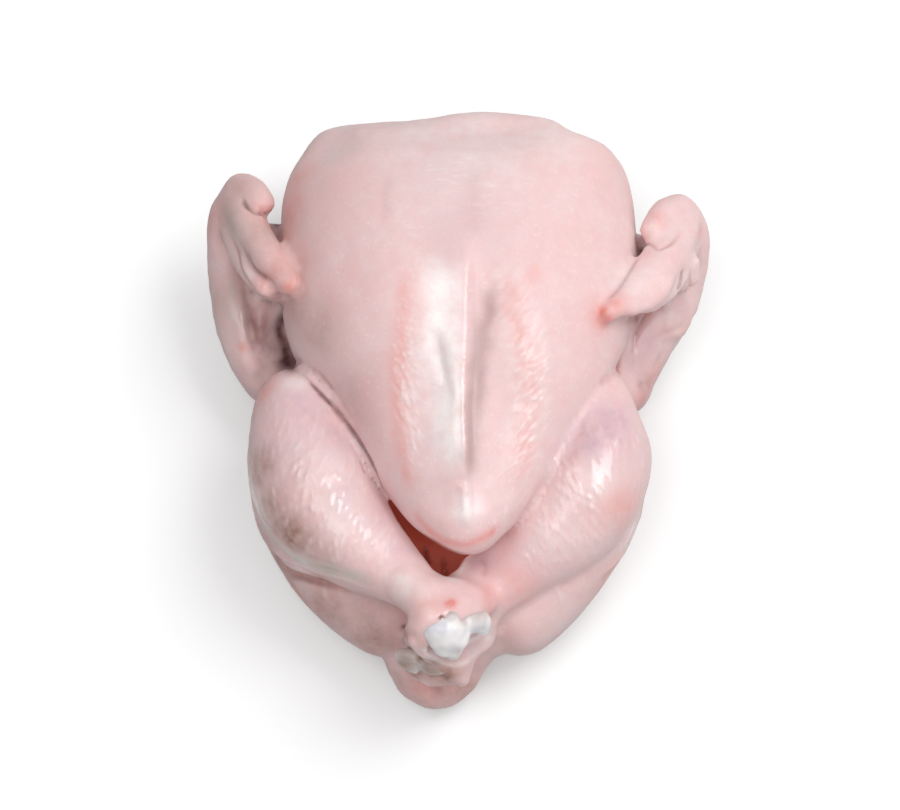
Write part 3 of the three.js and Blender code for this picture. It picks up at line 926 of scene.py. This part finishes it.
# %% Bumps in rows
# Each tract's middle line, in mm, from the neck's side to the tip.
LEFT_TRACT = [(-15, 46, 99), (-18.2, 28.6, 95.9), (-20.2, 6.1, 90.4), (-20.2, -8.7, 86.3),
              (-18.6, -23.6, 82.7), (-16.2, -38.7, 79.6), (-12.4, -48.3, 78.5)]
RIGHT_TRACT = [(15.5, 42, 98), (20.6, 28.7, 95.4), (24, 17.4, 93.2), (27, 2.6, 89), (28.5, -8.3, 85.1),
               (26.5, -23.3, 81.5), (21.5, -38.7, 79.6), (16, -48.3, 78.8)]
STRAY = 0.32  # how far a bump strays from its place, as a share of the gap between bumps
MISSING = 0.1  # share of the bumps
random.seed(11)


def raise_bumps(bumps):
    """Pushes out long bumps: each has a place, the way it lies, half its length and width, and its height."""
    amount = np.zeros(clay.count)
    for place, heading, length, width, height in bumps:
        found = tree.find_range(place, 2.0 * max(length, width))
        if not found:
            continue
        index = np.array([row[1] for row in found])
        gap = clay.places[index] - place
        normal = clay.normals[index[0]]
        ahead = unit(heading - np.dot(heading, normal) * normal)
        aside = np.cross(normal, ahead)
        shape = height * bell(gap @ ahead, length) * bell(gap @ aside, width)
        amount[index] = np.maximum(amount[index], shape)
    return amount


def turned(degrees):
    """A level heading, in degrees from the tail towards the right."""
    return np.array((math.sin(math.radians(degrees)), -math.cos(math.radians(degrees)), 0.0))


def tract_bumps(marks, half_width, row_gap, bump_gap, lean, size_of):
    """Staggered rows of bumps across a line, a few of them missing."""
    line = smooth_line(marks, 0.5)
    run = np.concatenate([[0], np.cumsum(np.linalg.norm(np.diff(line, axis=0), axis=1))])
    bumps = []
    for row in range(int(run[-1] / row_gap)):
        index = int(np.searchsorted(run, (row + 0.5) * row_gap))
        ahead = unit(line[min(index + 1, len(line) - 1)] - line[index - 1])
        aside = np.array((-ahead[1], ahead[0], 0.0))
        share = run[index] / run[-1]
        offset = -half_width + (row % 2) * bump_gap / 2
        while offset <= half_width:
            jitter = [random.uniform(-STRAY, STRAY) * bump_gap for _ in range(2)]
            place = line[index] + aside * (offset + jitter[0]) + ahead * jitter[1]
            place = np.array(tree.find(place)[0])
            length, width, height = size_of(share, abs(offset) / half_width)
            if random.random() > MISSING:
                heading = turned(lean + random.uniform(-9, 9))
                length *= random.uniform(0.75, 1.25)
                bumps.append((place, heading, length, width, height * random.uniform(0.5, 1.3)))
            offset += bump_gap
    return bumps


def left_size(share, out):
    """Half length, half width and height in mm: round pimples near the neck, streaks towards the tip."""
    long = 0.8 + 1.1 * float(step(0.35, 0.6, np.array(share)))
    return long, 0.62, 0.44 * (1 - 0.5 * out) * math.sin(math.pi * min(1, 0.12 + share)) ** 0.5


def right_size(share, out):
    """Half length, half width and height in mm: streaks all along the tract."""
    return 2.3, 0.60, 0.46 * (1 - 0.5 * out) * math.sin(math.pi * min(1, 0.1 + 0.9 * share)) ** 0.5


breast_bumps = tract_bumps(LEFT_TRACT, half_width=5.0, row_gap=2.5, bump_gap=2.4, lean=20, size_of=left_size)
breast_bumps += tract_bumps(RIGHT_TRACT, half_width=8.5, row_gap=2.5, bump_gap=2.2, lean=-42,
                            size_of=right_size)
tract_relief = clay.blurred(raise_bumps(breast_bumps), 1)
clay.push(tract_relief)
print("breast bumps:", len(breast_bumps))

# %% [markdown]
# A drumstick is round, so its follicles can't be laid out on a plan. For each of them a ray goes from
# outside to the drumstick's middle line, and the bump stands where it meets the skin.

# %% Follicles round the drumsticks
# The middle of each drumstick from its knee to its ankle, in mm.
LEFT_DRUM = [(-63, -1, 50), (-60, -20, 50), (-54, -40, 50), (-41, -57, 53), (-26, -70, 56)]
RIGHT_DRUM = [(58, -1, 50), (54, -19, 50), (47.5, -37, 48.5), (37, -54, 48.5), (25, -67, 47.5)]
DRUM_REACH = 34.0  # nothing further from the middle line belongs to the drumstick
DRUM_RADIUS = 24.0
DRUM_OUTSIDE = 60.0  # rays start this far from the middle line
DRUM_TURN = 250  # degrees of the drumstick's girth that have follicles, with its upper side in the middle
DRUM_BUMP_WIDTH = 0.74
PATCH_OF_BUMPS = 13
KNEE_END = (-6, -26)  # along y: the knee's end of the drumstick, and where its bumps are fully high
FOLLICLE_GAP = 3.9
ROW_GAP = 0.86 * FOLLICLE_GAP
LINE_STEP = 0.5


def drum_bumps(marks, lean):
    """A staggered net of bumps over the upper side of a drumstick, drawn out along one heading."""
    line = smooth_line(marks, LINE_STEP)
    bumps = []
    for row in range(int(len(line) * LINE_STEP / ROW_GAP)):
        index = min(int((row + 0.5) * ROW_GAP / LINE_STEP), len(line) - 2)
        middle, ahead = line[index], unit(line[index + 1] - line[index])
        aside = unit(np.cross(ahead, (0, 0, 1)))
        upward = np.cross(aside, ahead)
        turn = 360 * FOLLICLE_GAP / (2 * math.pi * DRUM_RADIUS)
        for column in range(int(DRUM_TURN / turn)):
            angle = math.radians(-DRUM_TURN / 2 + (column + 0.5 * (row % 2)) * turn + random.uniform(-3, 3))
            outward = math.sin(angle) * aside + math.cos(angle) * upward
            start = middle + ahead * random.uniform(-1, 1) + outward * DRUM_OUTSIDE
            hit, place, normal, _ = skin.ray_cast(Vector(start * MM), Vector(-outward))
            place = np.array(place) / MM
            if not hit or np.linalg.norm(place - middle) > DRUM_REACH:
                continue
            # bumps are higher on the upper side, in patches, and away from the knee
            strong = 0.3 + 0.7 * float(step(0.2, 0.8, np.array(normal[2])))
            patch = np.array(noise.noise(Vector(place) / PATCH_OF_BUMPS))
            strong *= 0.4 + 0.6 * float(step(-0.35, 0.25, patch))
            strong *= 0.4 + 0.6 * float(step(*KNEE_END, place[1]))
            heading = turned(lean + random.uniform(-16, 16))
            length = random.uniform(1.1, 3.0)
            bumps.append((place, heading, length, DRUM_BUMP_WIDTH, strong * random.uniform(0.12, 0.5)))
    return bumps


LOWEST = 0.1  # mm above the table, which is flat

bpy.context.view_layer.update()
leg_bumps = drum_bumps(LEFT_DRUM, lean=-16) + drum_bumps(RIGHT_DRUM, lean=20)
leg_relief = clay.blurred(raise_bumps(leg_bumps) * (1 - fold), 1)
clay.push(leg_relief)
clay.places[:, 2] = np.maximum(clay.places[:, 2], LOWEST)
clay.write()
print("leg bumps:", len(leg_bumps))

# %% [markdown]
# ## Tones under the skin
#
# Raw chicken skin is pale and lets what lies under it show: pink where blood runs near the surface,
# lilac where there is lean meat close below, cream where there is fat, grey where a wet membrane lies on
# it, and dark red where the skin ends and raw meat begins. Other tones are painted light and shade:
# grey-brown painted shade on the low and left sides and near the table, with a little of the low skin's
# own duller tone; darker painted shade in hollows, creases, crevices and the keel's groove; grey painted
# shade over the left wing; and pale painted highlights and lit patches on the breast and drumsticks. Each
# tone is a share for every point of the mesh. It is made of soft spots and bands, whose edges a noise
# makes ragged, and is kept as an attribute that the material reads.

# %% Where the tones lie
# Soft spots of each tone: (across, down, radius in mm, strength).
TONE_SPOTS = {
    "blush": [(300, 175, 12, 0.35), (290, 215, 11, 0.4), (289, 265, 12, 0.3), (330, 180, 16, 0.15),
              (350, 142, 12, 0.12), (630, 200, 10, 0.15), (633, 240, 9, 0.15), (602, 160, 12, 0.15),
              (534, 274, 4, 0.35), (400, 592, 9, 0.45), (430, 606, 7, 0.35), (451, 604, 2.6, 0.95),
              (492, 602, 8, 0.4), (520, 590, 10, 0.3), (290, 287, 5, 0.55), (296, 272, 4, 0.3),
              (272, 209, 2.2, 0.6), (262, 208, 3, 0.4), (262, 392, 6, 0.5), (243, 346, 2.6, 0.6),
              (268, 280, 6, 0.35), (213, 220, 7, 0.25), (604, 315, 6, 0.85), (614, 307, 6, 0.5),
              (644, 238, 2.6, 0.7), (658, 217, 3.5, 0.35), (668, 330, 3, 0.25), (690, 286, 3.5, 0.5),
              (642, 400, 5, 0.3), (655, 375, 6, 0.25), (700, 232, 3, 0.3), (625, 505, 9, 0.4),
              (577, 470, 6, 0.2), (640, 600, 12, 0.25), (424, 688, 9, 0.35), (458, 690, 8, 0.3)],
    "lilac": [(455, 170, 20, 0.22), (470, 215, 18, 0.22), (305, 408, 14, 0.42), (335, 440, 12, 0.42),
              (345, 495, 9, 0.3), (378, 512, 10, 0.35), (400, 548, 9, 0.35), (590, 445, 12, 0.6),
              (575, 458, 7, 0.4), (612, 425, 11, 0.65), (646, 345, 8, 0.4), (636, 360, 7, 0.4),
              (255, 325, 7, 0.5), (262, 345, 6, 0.4), (285, 450, 14, 0.25), (560, 470, 9, 0.2),
              (482, 562, 5, 0.5), (436, 440, 5, 0.3), (520, 560, 12, 0.2)],
    # Painted shade: grey-brown on the low and left sides, the left wing, under the thighs and round the
    # hocks, with a little of the low skin's own duller tone.
    "grey_brown_painted_shade": [(288, 535, 10, 0.85), (259, 470, 9, 0.6), (272, 505, 9, 0.5), (305, 540, 9, 0.4),
             (320, 556, 8, 0.3), (330, 612, 13, 0.45), (372, 640, 12, 0.55), (410, 690, 10, 0.15),
             (240, 185, 10, 0.25), (465, 690, 11, 0.45), (442, 673, 9, 0.7), (415, 668, 8, 0.6),
             (505, 640, 12, 0.2), (525, 655, 12, 0.1), (240, 548, 12, 0.3), (255, 585, 12, 0.3),
             (265, 232, 13, 0.3), (285, 275, 9, 0.25), (228, 215, 12, 0.3), (360, 615, 14, 0.35),
             (300, 500, 14, 0.2), (350, 400, 12, 0.2), (320, 330, 12, 0.32), (295, 310, 10, 0.35),
             (222, 300, 10, 0.25), (250, 240, 9, 0.25), (262, 375, 6, 0.35), (278, 340, 6, 0.45),
             (545, 632, 14, 0.08), (684, 330, 6, 0.15), (668, 370, 7, 0.2), (648, 388, 6, 0.45)],
    # Pale: cream where fat lies under the skin, and painted light: highlights on the breast tip and
    # drumsticks, and lighter patches on the top and the right side.
    "pale": [(466, 511, 5, 0.85), (345, 505, 13, 0.3), (330, 470, 12, 0.25), (595, 480, 9, 0.4),
             (560, 540, 12, 0.25), (428, 612, 4, 0.4), (640, 275, 10, 0.4), (295, 381, 5, 0.5),
             (660, 310, 5, 0.4), (694, 262, 3.5, 0.3), (455, 579, 3, 0.7), (488, 637, 3, 0.7),
             (250, 275, 3, 0.3), (470, 160, 28, 0.35), (410, 140, 20, 0.35), (340, 150, 16, 0.25),
             (470, 122, 20, 0.35), (550, 135, 18, 0.3), (402, 587, 9, 0.7), (634, 245, 9, 0.6),
             (690, 282, 6, 0.4), (560, 625, 12, 0.3), (552, 160, 18, 0.15), (692, 320, 6, 0.2)],
    # Painted shade: near-black in the pits, gaps and crevices where shade falls.
    "painted_crevice_shade": [(441, 617, 0.9, 0.9), (459, 652, 0.9, 0.9), (404, 627, 1.0, 0.8), (637, 319, 1.6, 0.8),
             (641, 252, 1.6, 0.8), (277, 226, 2.2, 0.8), (287, 364, 5.5, 1.0), (277, 330, 5, 0.45),
             (281, 350, 6, 0.6), (640, 384, 1.4, 0.5), (421, 659, 1.6, 0.8), (447, 678, 1.2, 0.5)],
    "wet": [(345, 500, 22, 0.9), (310, 470, 18, 0.7), (590, 480, 20, 0.9), (560, 530, 18, 0.8),
            (466, 512, 9, 0.8), (255, 500, 12, 0.8), (300, 560, 12, 0.7), (650, 340, 10, 0.9),
            (245, 320, 9, 0.7), (460, 575, 14, 0.9), (640, 540, 12, 0.8), (450, 630, 14, 0.8),
            (425, 660, 14, 0.8), (680, 290, 9, 0.6), (265, 230, 9, 0.4)],
    "wrinkled": [(455, 175, 16, 1.0), (495, 192, 14, 1.0), (412, 230, 10, 0.7), (470, 140, 14, 0.6)],
}
# Soft bands of each tone: (marks, half width in mm, strength).
TONE_BANDS = {
    "blush": [
        ([(408, 262), (401, 330), (397, 390), (402, 450), (414, 500)], 3.2, 0.42),
        ([(506, 270), (520, 330), (532, 390), (525, 450), (508, 500)], 4.5, 0.34),
        ([(414, 508), (424, 525), (440, 538), (462, 544), (486, 537), (502, 522)], 2.0, 0.65),
    ],
    # Painted shade under the left membrane, in the left wing's gap and at the left hock.
    "grey_brown_painted_shade": [
        ([(262, 547), (285, 568), (312, 580), (340, 588), (362, 596)], 2.2, 0.35),
        ([(262, 315), (268, 345), (276, 372)], 4.0, 0.4),
        ([(404, 618), (414, 636), (430, 655)], 2.0, 0.4),
    ],
    # Pale lines on rims and folds: the skin's paler edges, with a painted highlight on their ridges.
    "pale": [
        ([(450, 582), (462, 568), (470, 556)], 2.0, 0.6),
        ([(418, 643), (430, 655), (446, 664), (466, 662), (484, 650)], 0.9, 0.6),
        ([(462, 646), (471, 640), (481, 634)], 1.2, 0.8),
        ([(243, 201), (256, 214), (272, 213)], 0.7, 0.5),
        ([(672, 306), (667, 330), (658, 356)], 1.1, 0.55),
        ([(680, 308), (676, 334), (668, 358)], 1.0, 0.35),
    ],
    "veil": [
        ([(247, 455), (257, 507), (275, 540), (305, 561), (345, 574), (382, 586)], 3.2, 0.8),
        ([(652, 492), (640, 530), (618, 558)], 2.0, 0.6),
        # On the left wing this grey stands in for shade: painted shade.
        ([(226, 190), (232, 225), (236, 262), (240, 310), (248, 360)], 8.0, 0.3),
    ],
    # Painted shade: dark lines in the wing's gap, beside the left drumstick, in the cavity, at the hocks and
    # in the folds.
    "painted_crevice_shade": [
        ([(281, 300), (281, 322), (283, 345), (289, 366), (296, 378)], 2.8, 1.0),
        ([(298, 373), (318, 391), (336, 410), (350, 428), (363, 447), (374, 467), (382, 486),
          (388, 498)], 0.7, 0.9),
        ([(443, 550), (443, 555), (443, 560), (444, 565), (444, 570), (445, 577)], 0.9, 0.9),
        ([(424, 544), (425, 549), (426, 554), (428, 560), (430, 566)], 0.9, 0.8),
        ([(424, 630), (432, 645), (445, 656), (458, 660)], 0.6, 0.7),
        ([(683, 268), (681, 280), (677, 292)], 0.6, 0.5),
        ([(242, 200), (250, 210), (260, 215), (274, 214)], 0.7, 0.6),
        ([(248, 250), (256, 268), (270, 280)], 0.9, 0.4),
        ([(242, 278), (252, 292), (266, 301), (282, 304)], 0.9, 0.5),
        ([(640, 256), (630, 272), (620, 288), (606, 302)], 0.7, 0.4),
        ([(262, 549), (285, 570), (312, 582), (340, 590)], 1.0, 0.35),
    ],
    "shade": [
        ([(496, 275), (485, 325), (477, 372), (473, 405), (471, 440), (468, 490)], 4.0, 0.5),
        ([(433, 322), (444, 362), (453, 402), (456, 430)], 1.8, 0.2),
    ],
    "wet": [
        ([(440, 250), (440, 330), (448, 400), (454, 460)], 9.0, 0.95),
    ],
}
# A painted highlight: the long gleam on the keel's left slope, painted pale, which ends at the crest.
PAINTED_SLOPE_GLEAM = [([(442, 246), (443, 320), (447, 380), (453, 450), (458, 480)], 8.0, 0.95)]
print("spots:", sum(map(len, TONE_SPOTS.values())), "bands:", sum(map(len, TONE_BANDS.values())))

# %% Spread the tones
RAGGED_BY = 2.6  # mm that the noise moves a wide tone's edge
RAGGED_SIZE = 7.0
RAGGED_FROM = 6  # mm: a narrower spot or band has an edge that is less ragged
BAND_ENDS = 0.15  # share of its length over which it fades out
TRACT_TOP = 0.35  # mm: a bump this high is fully pale on its top
PAINTED_TABLE_SHADE = 0.14  # strength of the painted shade that rises from the table: darker towards the bottom
PAINTED_TABLE_SHADE_HEIGHTS = (18, 40)  # mm above the table: full, and gone
CREST_EDGE = (-0.2, 1.2)  # mm to the right of the crest, over which the slope's painted gleam ends
TRACT_PALE = 0.5  # how pale a feather tract's bumps are on their tops, and then those of the legs; the pale is partly painted highlight
LEG_PALE = 0.3
TRACT_WET = 0.5
CAVITY_WET = 0.5
WALL_SLACK = 2.5  # mm over which the cavity's raw wall fades into skin
SHADED_HOLLOWS = (0.03, 0.16)  # mm of hollowness: no painted shade, and the full one
HOLLOW_SHADE = 0.45  # how dark the painted shade gets in hollows, and then in creases
CREASE_SHADE = 0.4
TONE_NAMES = ("blush", "lilac", "grey_brown_painted_shade", "pale", "veil", "raw", "painted_crevice_shade", "shade", "deep", "wet", "wrinkled")

raggedness = RAGGED_BY * np.stack([noise_at(clay.places, RAGGED_SIZE, seed) for seed in (3, 4, 5)], 1)


def spots(rows_of_spots):
    """A tone of soft spots, each a place in the picture, a radius in mm and a strength."""
    tone = np.zeros(clay.count)
    for across, down, radius, strength in rows_of_spots:
        gap = clay.places + raggedness * min(1, radius / RAGGED_FROM) - marks_at((across, down))[0]
        tone = np.maximum(tone, strength * bell(np.linalg.norm(gap, axis=1), radius))
    return tone


def bands(rows_of_bands):
    """A tone of soft bands, each a line of places in the picture, a half width in mm and a strength."""
    tone = np.zeros(clay.count)
    for marks, width, strength in rows_of_bands:
        places = clay.places + raggedness * min(1, width / RAGGED_FROM)
        near, share, side = beside(places, clay.normals, marks_at(*marks), width * LINE_REACH)
        fading = np.minimum(step(0, BAND_ENDS, share), 1 - step(1 - BAND_ENDS, 1, share))
        tone[near] = np.maximum(tone[near], strength * bell(side, width) * fading)
    return tone


tones = {name: np.maximum(spots(TONE_SPOTS.get(name, [])), bands(TONE_BANDS.get(name, [])))
         for name in TONE_NAMES}
x, y, z = clay.places.T
# Painted shade near the table: darker towards the bottom.
tones["grey_brown_painted_shade"] = np.maximum(tones["grey_brown_painted_shade"], PAINTED_TABLE_SHADE * (1 - step(*PAINTED_TABLE_SHADE_HEIGHTS, z)))
on_slope = 1 - step(*CREST_EDGE, x - at(KEEL_LINE, y))
# The painted gleam on the keel's slope, and the bumps' paler tops, which are partly painted highlight.
tones["pale"] = np.maximum.reduce([tones["pale"], on_slope * bands(PAINTED_SLOPE_GLEAM),
                                   TRACT_PALE * tract_relief / TRACT_TOP, LEG_PALE * leg_relief / TRACT_TOP])
tones["raw"] = cavity_share(clay.places, clay.normals, WALL_SLACK)
tones["wet"] = np.maximum.reduce([tones["wet"], TRACT_WET * tract_relief / TRACT_TOP,
                                  CAVITY_WET * tones["raw"]])
# Painted shade in hollows and creases.
shade_in_hollows = HOLLOW_SHADE * step(*SHADED_HOLLOWS, clay.blurred(clay.hollowness(), 2)) * (1 - fade)
shade_in_creases = CREASE_SHADE * np.clip(-sum(creases), 0, 1)
tones["deep"] = np.maximum(shade_in_hollows, shade_in_creases) * (1 - smooth_front)

for name, tone in tones.items():
    values = np.clip(clay.blurred(tone, 1), 0, 1)
    skin.data.attributes.new(name, "FLOAT", "POINT").data.foreach_set("value", values)
    print(name, "mean", round(float(values.mean()), 3))

# %% [markdown]
# The net is now finer than it has to be where the skin is even. A decimation takes its faces away there
# first and leaves the bumps and folds, and it carries the tones along.

# %% Thin out what is even
SKIN_TRIANGLES = 192_000


def triangles(piece):
    """How many triangles a piece's faces come to."""
    return sum(len(face.vertices) - 2 for face in piece.data.polygons)


finish_with(skin, "DECIMATE", ratio=min(1.0, SKIN_TRIANGLES / triangles(skin)))
print("skin triangles:", triangles(skin))

# %% [markdown]
# ## Wet raw skin
#
# Poultry skin is a thin, soft, fatty leather, and light enters it and comes out again a few millimetres
# away, redder. That is subsurface scattering, and it takes the hardness out of every shadow. Where the
# skin is wet a film of water lies on it, which is a coat with sharp gleams; the dry parts only have a
# satin sheen. The tones are mixed one over another, each broken up by noise, and the finest relief,
# pores about a millimetre across, is bump.

# %% Skin material
# What each noise draws: (its size in mm, its detail).
PATTERNS = {"mottle": (5.0, 4.0), "patch": (22.0, 2.0), "fleck": (1.7, 3.0)}
WRINKLE_SIZE = 1.6 * MM
WRINKLE_STRETCH = (0.22, 1.0, 1.0)  # the wrinkles run across the bird
PORE_SIZE = 1.3 * MM
PORE_RELIEF = 0.3 * MM
SKIN_COLOURS = ("#E6C1C0", "#F1D6D6")  # the mottle mixes them
WRINKLE_COLOUR = "#F9F0EE"
# What lies over them everywhere: noise, colour, from which value of the noise to which, and how much there.
OVERLAYS = [
    ("patch", "#EBB9B8", (0.45, 0.75), (0.0, 0.45)),
    ("fleck", "#F7EAE6", (0.56, 0.74), (0.0, 0.35)),
]
# Rows of attribute, colour, and how much the noise breaks it up.
TONE_COLOURS = [
    ("lilac", "#C7A3B0", 0.5),
    ("blush", "#E98C82", 0.5),
    # painted shade, grey-brown
    ("grey_brown_painted_shade", "#9A6B59", 0.4),
    # cream of fat, and painted highlights and lit patches
    ("pale", "#F8EDEB", 0.3),
    ("veil", "#C9BFB6", 0.3),
    ("shade", "#8E6A66", 0.0),
    # painted shade in hollows and creases
    ("deep", "#AE6A62", 0.3),
    ("raw", "#9C4434", 0.0),
    # painted shade in crevices
    ("painted_crevice_shade", "#541C1C", 0.1),
]

raw_skin, skin_shader = new_material("wet raw poultry skin", {
    "Coat Roughness": 0.14,
    "Coat IOR": 1.5,
    "Subsurface Weight": 0.4,
    "Subsurface Radius": (1.0, 0.45, 0.35),
    "Subsurface Scale": 3.2 * MM,
})
place = add_node(raw_skin, "ShaderNodeTexCoord", "Object")
shares = {name: add_node(raw_skin, "ShaderNodeAttribute", "Fac", attribute_name=name) for name in TONE_NAMES}
noises = {}
for name, (size, detail) in PATTERNS.items():
    noises[name] = add_node(raw_skin, "ShaderNodeTexNoise", "Fac", {
        "Vector": place, "Scale": 1 / (size * MM), "Detail": detail, "Roughness": 0.6})
print("noises:", list(noises), "tones:", len(shares))

# %% Colours one over another
layers = []  # each a colour, and the output that says how much of it
for name, hex_colour, reach, amount in OVERLAYS:
    layers.append((hex_colour, add_node(raw_skin, "ShaderNodeMapRange", "Result",
                                        [noises[name], *reach, *amount])))
for name, hex_colour, broken in TONE_COLOURS:
    patchy = add_node(raw_skin, "ShaderNodeMapRange", "Result",
                      [noises["mottle"], 0.3, 0.7, 1 - broken, 1 + broken])
    layers.append((hex_colour, add_node(raw_skin, "ShaderNodeMath", "Value", [shares[name], patchy],
                                        operation="MULTIPLY", use_clamp=True)))
stretched = add_node(raw_skin, "ShaderNodeVectorMath", "Vector", [place, WRINKLE_STRETCH],
                     operation="MULTIPLY")
wrinkle = add_node(raw_skin, "ShaderNodeTexNoise", "Fac", {
    "Vector": stretched, "Scale": 1 / WRINKLE_SIZE, "Detail": 2.0, "Roughness": 0.6})
crests = add_node(raw_skin, "ShaderNodeMapRange", "Result", [wrinkle, 0.55, 0.70, 0.0, 0.35])
lines = add_node(raw_skin, "ShaderNodeMath", "Value", [shares["wrinkled"], crests],
                 operation="MULTIPLY", use_clamp=True)
layers.append((WRINKLE_COLOUR, lines))

# A Mix node's colours go in at sockets 6 and 7 and come out at 2.
colour = add_node(raw_skin, "ShaderNodeMix", 2, {
    0: noises["mottle"], 6: linear(SKIN_COLOURS[0]), 7: linear(SKIN_COLOURS[1])}, data_type="RGBA")
for hex_colour, factor in layers:
    colour = add_node(raw_skin, "ShaderNodeMix", 2, {0: factor, 6: colour, 7: linear(hex_colour)},
                      data_type="RGBA")
print("layers of colour:", len(layers))

# %% Relief, gloss and the finished skin
pores = add_node(raw_skin, "ShaderNodeTexVoronoi", "Distance", {"Vector": place, "Scale": 1 / PORE_SIZE},
                 feature="SMOOTH_F1")
height = 0.0
for pattern, strength in ((pores, 0.4), (noises["fleck"], 0.45), (lines, 0.4)):
    height = add_node(raw_skin, "ShaderNodeMath", "Value", [pattern, strength, height],
                      operation="MULTIPLY_ADD", use_clamp=True)
linked = {
    "Base Color": colour,
    "Coat Weight": add_node(raw_skin, "ShaderNodeMapRange", "Result", [shares["wet"], 0, 1, 0.06, 1.0]),
    "Roughness": add_node(raw_skin, "ShaderNodeMapRange", "Result", [shares["wet"], 0, 1, 0.58, 0.36]),
    "Normal": add_node(raw_skin, "ShaderNodeBump", "Normal", {
        "Strength": 0.3, "Distance": PORE_RELIEF, "Height": height}),
}
for socket, value in linked.items():
    raw_skin.node_tree.links.new(value, skin_shader.inputs[socket])
skin.data.materials.append(raw_skin)
pick(skin)
bpy.ops.object.shade_smooth()
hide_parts("chicken")
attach(skin, "root")
bird.objects.link(skin)
print("skin material nodes:", len(raw_skin.node_tree.nodes))

# %% [markdown]
# ## The joint heads at the hocks
#
# Where the feet were cut off, the shank's joint head stands out of the skin: on the left a bluish-white
# heart of two lobes with a smaller lobe at its right, on the right a flat tendon and grey pads that hang
# over the tail. They are strings of balls again, melted together with a finer remesh. Cartilage is
# smooth and wet, so it has small sharp gleams, and light sinks into it, so its shadows stay pale.

# %% Cartilage and the places of the balls
JOINT_VOXEL = 0.55 * MM
CLOUD_SIZE = 7.0 * MM  # of the cartilage's paler clouds
JOINT_SMOOTHING = {"left_hock_joint": 24, "right_hock_joint": 16}
JOINT_BALLS = {
    "left_hock_joint": ("left_shank_bone", rolls_at_height([
        [(435, 630, 72.6, 5.4), (444, 629, 73.0, 5.6), (454, 629, 71.2, 5.2)],
        [(441, 634, 69.8, 6.6), (448, 635, 69.6, 6.8), (454, 636, 68.6, 6.2)],
        [(446, 642, 66.2, 6.2), (452, 643, 65.6, 5.2), (452, 649, 62.6, 4.2), (453, 654, 60.0, 2.8)],
        [(450, 623, 74.2, 3.8), (451, 617, 76.2, 2.8)],
        [(466, 622, 68.2, 5.0), (473, 620, 65.6, 5.2), (480, 622, 61.8, 4.6), (483, 627, 58.6, 3.4)],
    ])),
    "right_hock_joint": ("right_shank_bone", rolls_on_plane([
        [(400, 654, 0.6, 2.2), (407, 655, 0.6, 2.8), (415, 657, 0.4, 2.6), (420, 658, -0.4, 1.8)],
        [(403, 661, -1.0, 2.6), (410, 664, -1.0, 3.0), (417, 668, -1.2, 2.6)],
        [(426, 665, 0.0, 3.0), (432, 667, 0.0, 3.6), (440, 668, -0.4, 3.0)],
    ], RIGHT_HOCK)),
}

# Flesh-coloured places: (across, down, radius in the picture, strength).
FLESH = {
    "left_hock_joint": [(459, 652, 4, 0.4), (451, 613, 7, 0.5), (464, 620, 6, 0.5), (476, 611, 12, 0.6)],
    "right_hock_joint": [(404, 664, 16, 0.9), (432, 670, 18, 0.85), (420, 659, 7, 1.0),
                         (405, 655, 18, 0.65)],
}
PEARL_COLOURS = ("#DCDAE0", "#FBF7F5")  # the clouds mix them
FLESH_COLOUR = "#A98A7C"

gristle, gristle_shader = new_material("wet cartilage", {
    "Roughness": 0.4,
    "Coat Weight": 0.4,
    "Coat Roughness": 0.12,
    "Subsurface Weight": 0.35,
    "Subsurface Radius": (1.0, 0.7, 0.7),
    "Subsurface Scale": 2.0 * MM,
})
place = add_node(gristle, "ShaderNodeTexCoord", "Object")
cloud = add_node(gristle, "ShaderNodeTexNoise", "Fac", {
    "Vector": place, "Scale": 1 / CLOUD_SIZE, "Detail": 1.0, "Roughness": 0.6})
cloudy = add_node(gristle, "ShaderNodeMapRange", "Result", [cloud, 0.35, 0.65, 0.0, 1.0])
pearl = add_node(gristle, "ShaderNodeMix", 2, {
    0: cloudy, 6: linear(PEARL_COLOURS[0]), 7: linear(PEARL_COLOURS[1])}, data_type="RGBA")
flesh = add_node(gristle, "ShaderNodeAttribute", "Fac", attribute_name="flesh")
fleshy_pearl = add_node(gristle, "ShaderNodeMix", 2, {0: flesh, 6: pearl, 7: linear(FLESH_COLOUR)},
                        data_type="RGBA")
gristle.node_tree.links.new(fleshy_pearl, gristle_shader.inputs["Base Color"])

print("cartilage nodes:", len(gristle.node_tree.nodes))

# %% The two heads
for name, (node_name, rows_of_balls) in JOINT_BALLS.items():
    joint = string_of_balls(rows_of_balls, name)
    finish_with(joint, "REMESH", mode="VOXEL", voxel_size=JOINT_VOXEL)
    finish_with(joint, "SMOOTH", factor=0.5, iterations=JOINT_SMOOTHING[name])
    pixels = in_picture(rows(joint.data.vertices, "co") / MM)
    tone = np.zeros(len(pixels))
    for across, down, radius, strength in FLESH[name]:
        gap = np.linalg.norm(pixels - (across, down), axis=1)
        tone = np.maximum(tone, strength * bell(gap, radius))
    joint.data.attributes.new("flesh", "FLOAT", "POINT").data.foreach_set("value", tone)
    joint.data.materials.clear()
    joint.data.materials.append(gristle)
    pick(joint)
    bpy.ops.object.shade_smooth()
    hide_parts(node_name)
    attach(joint, "root")
    bird.objects.link(joint)
    print(name, "faces:", len(joint.data.polygons))
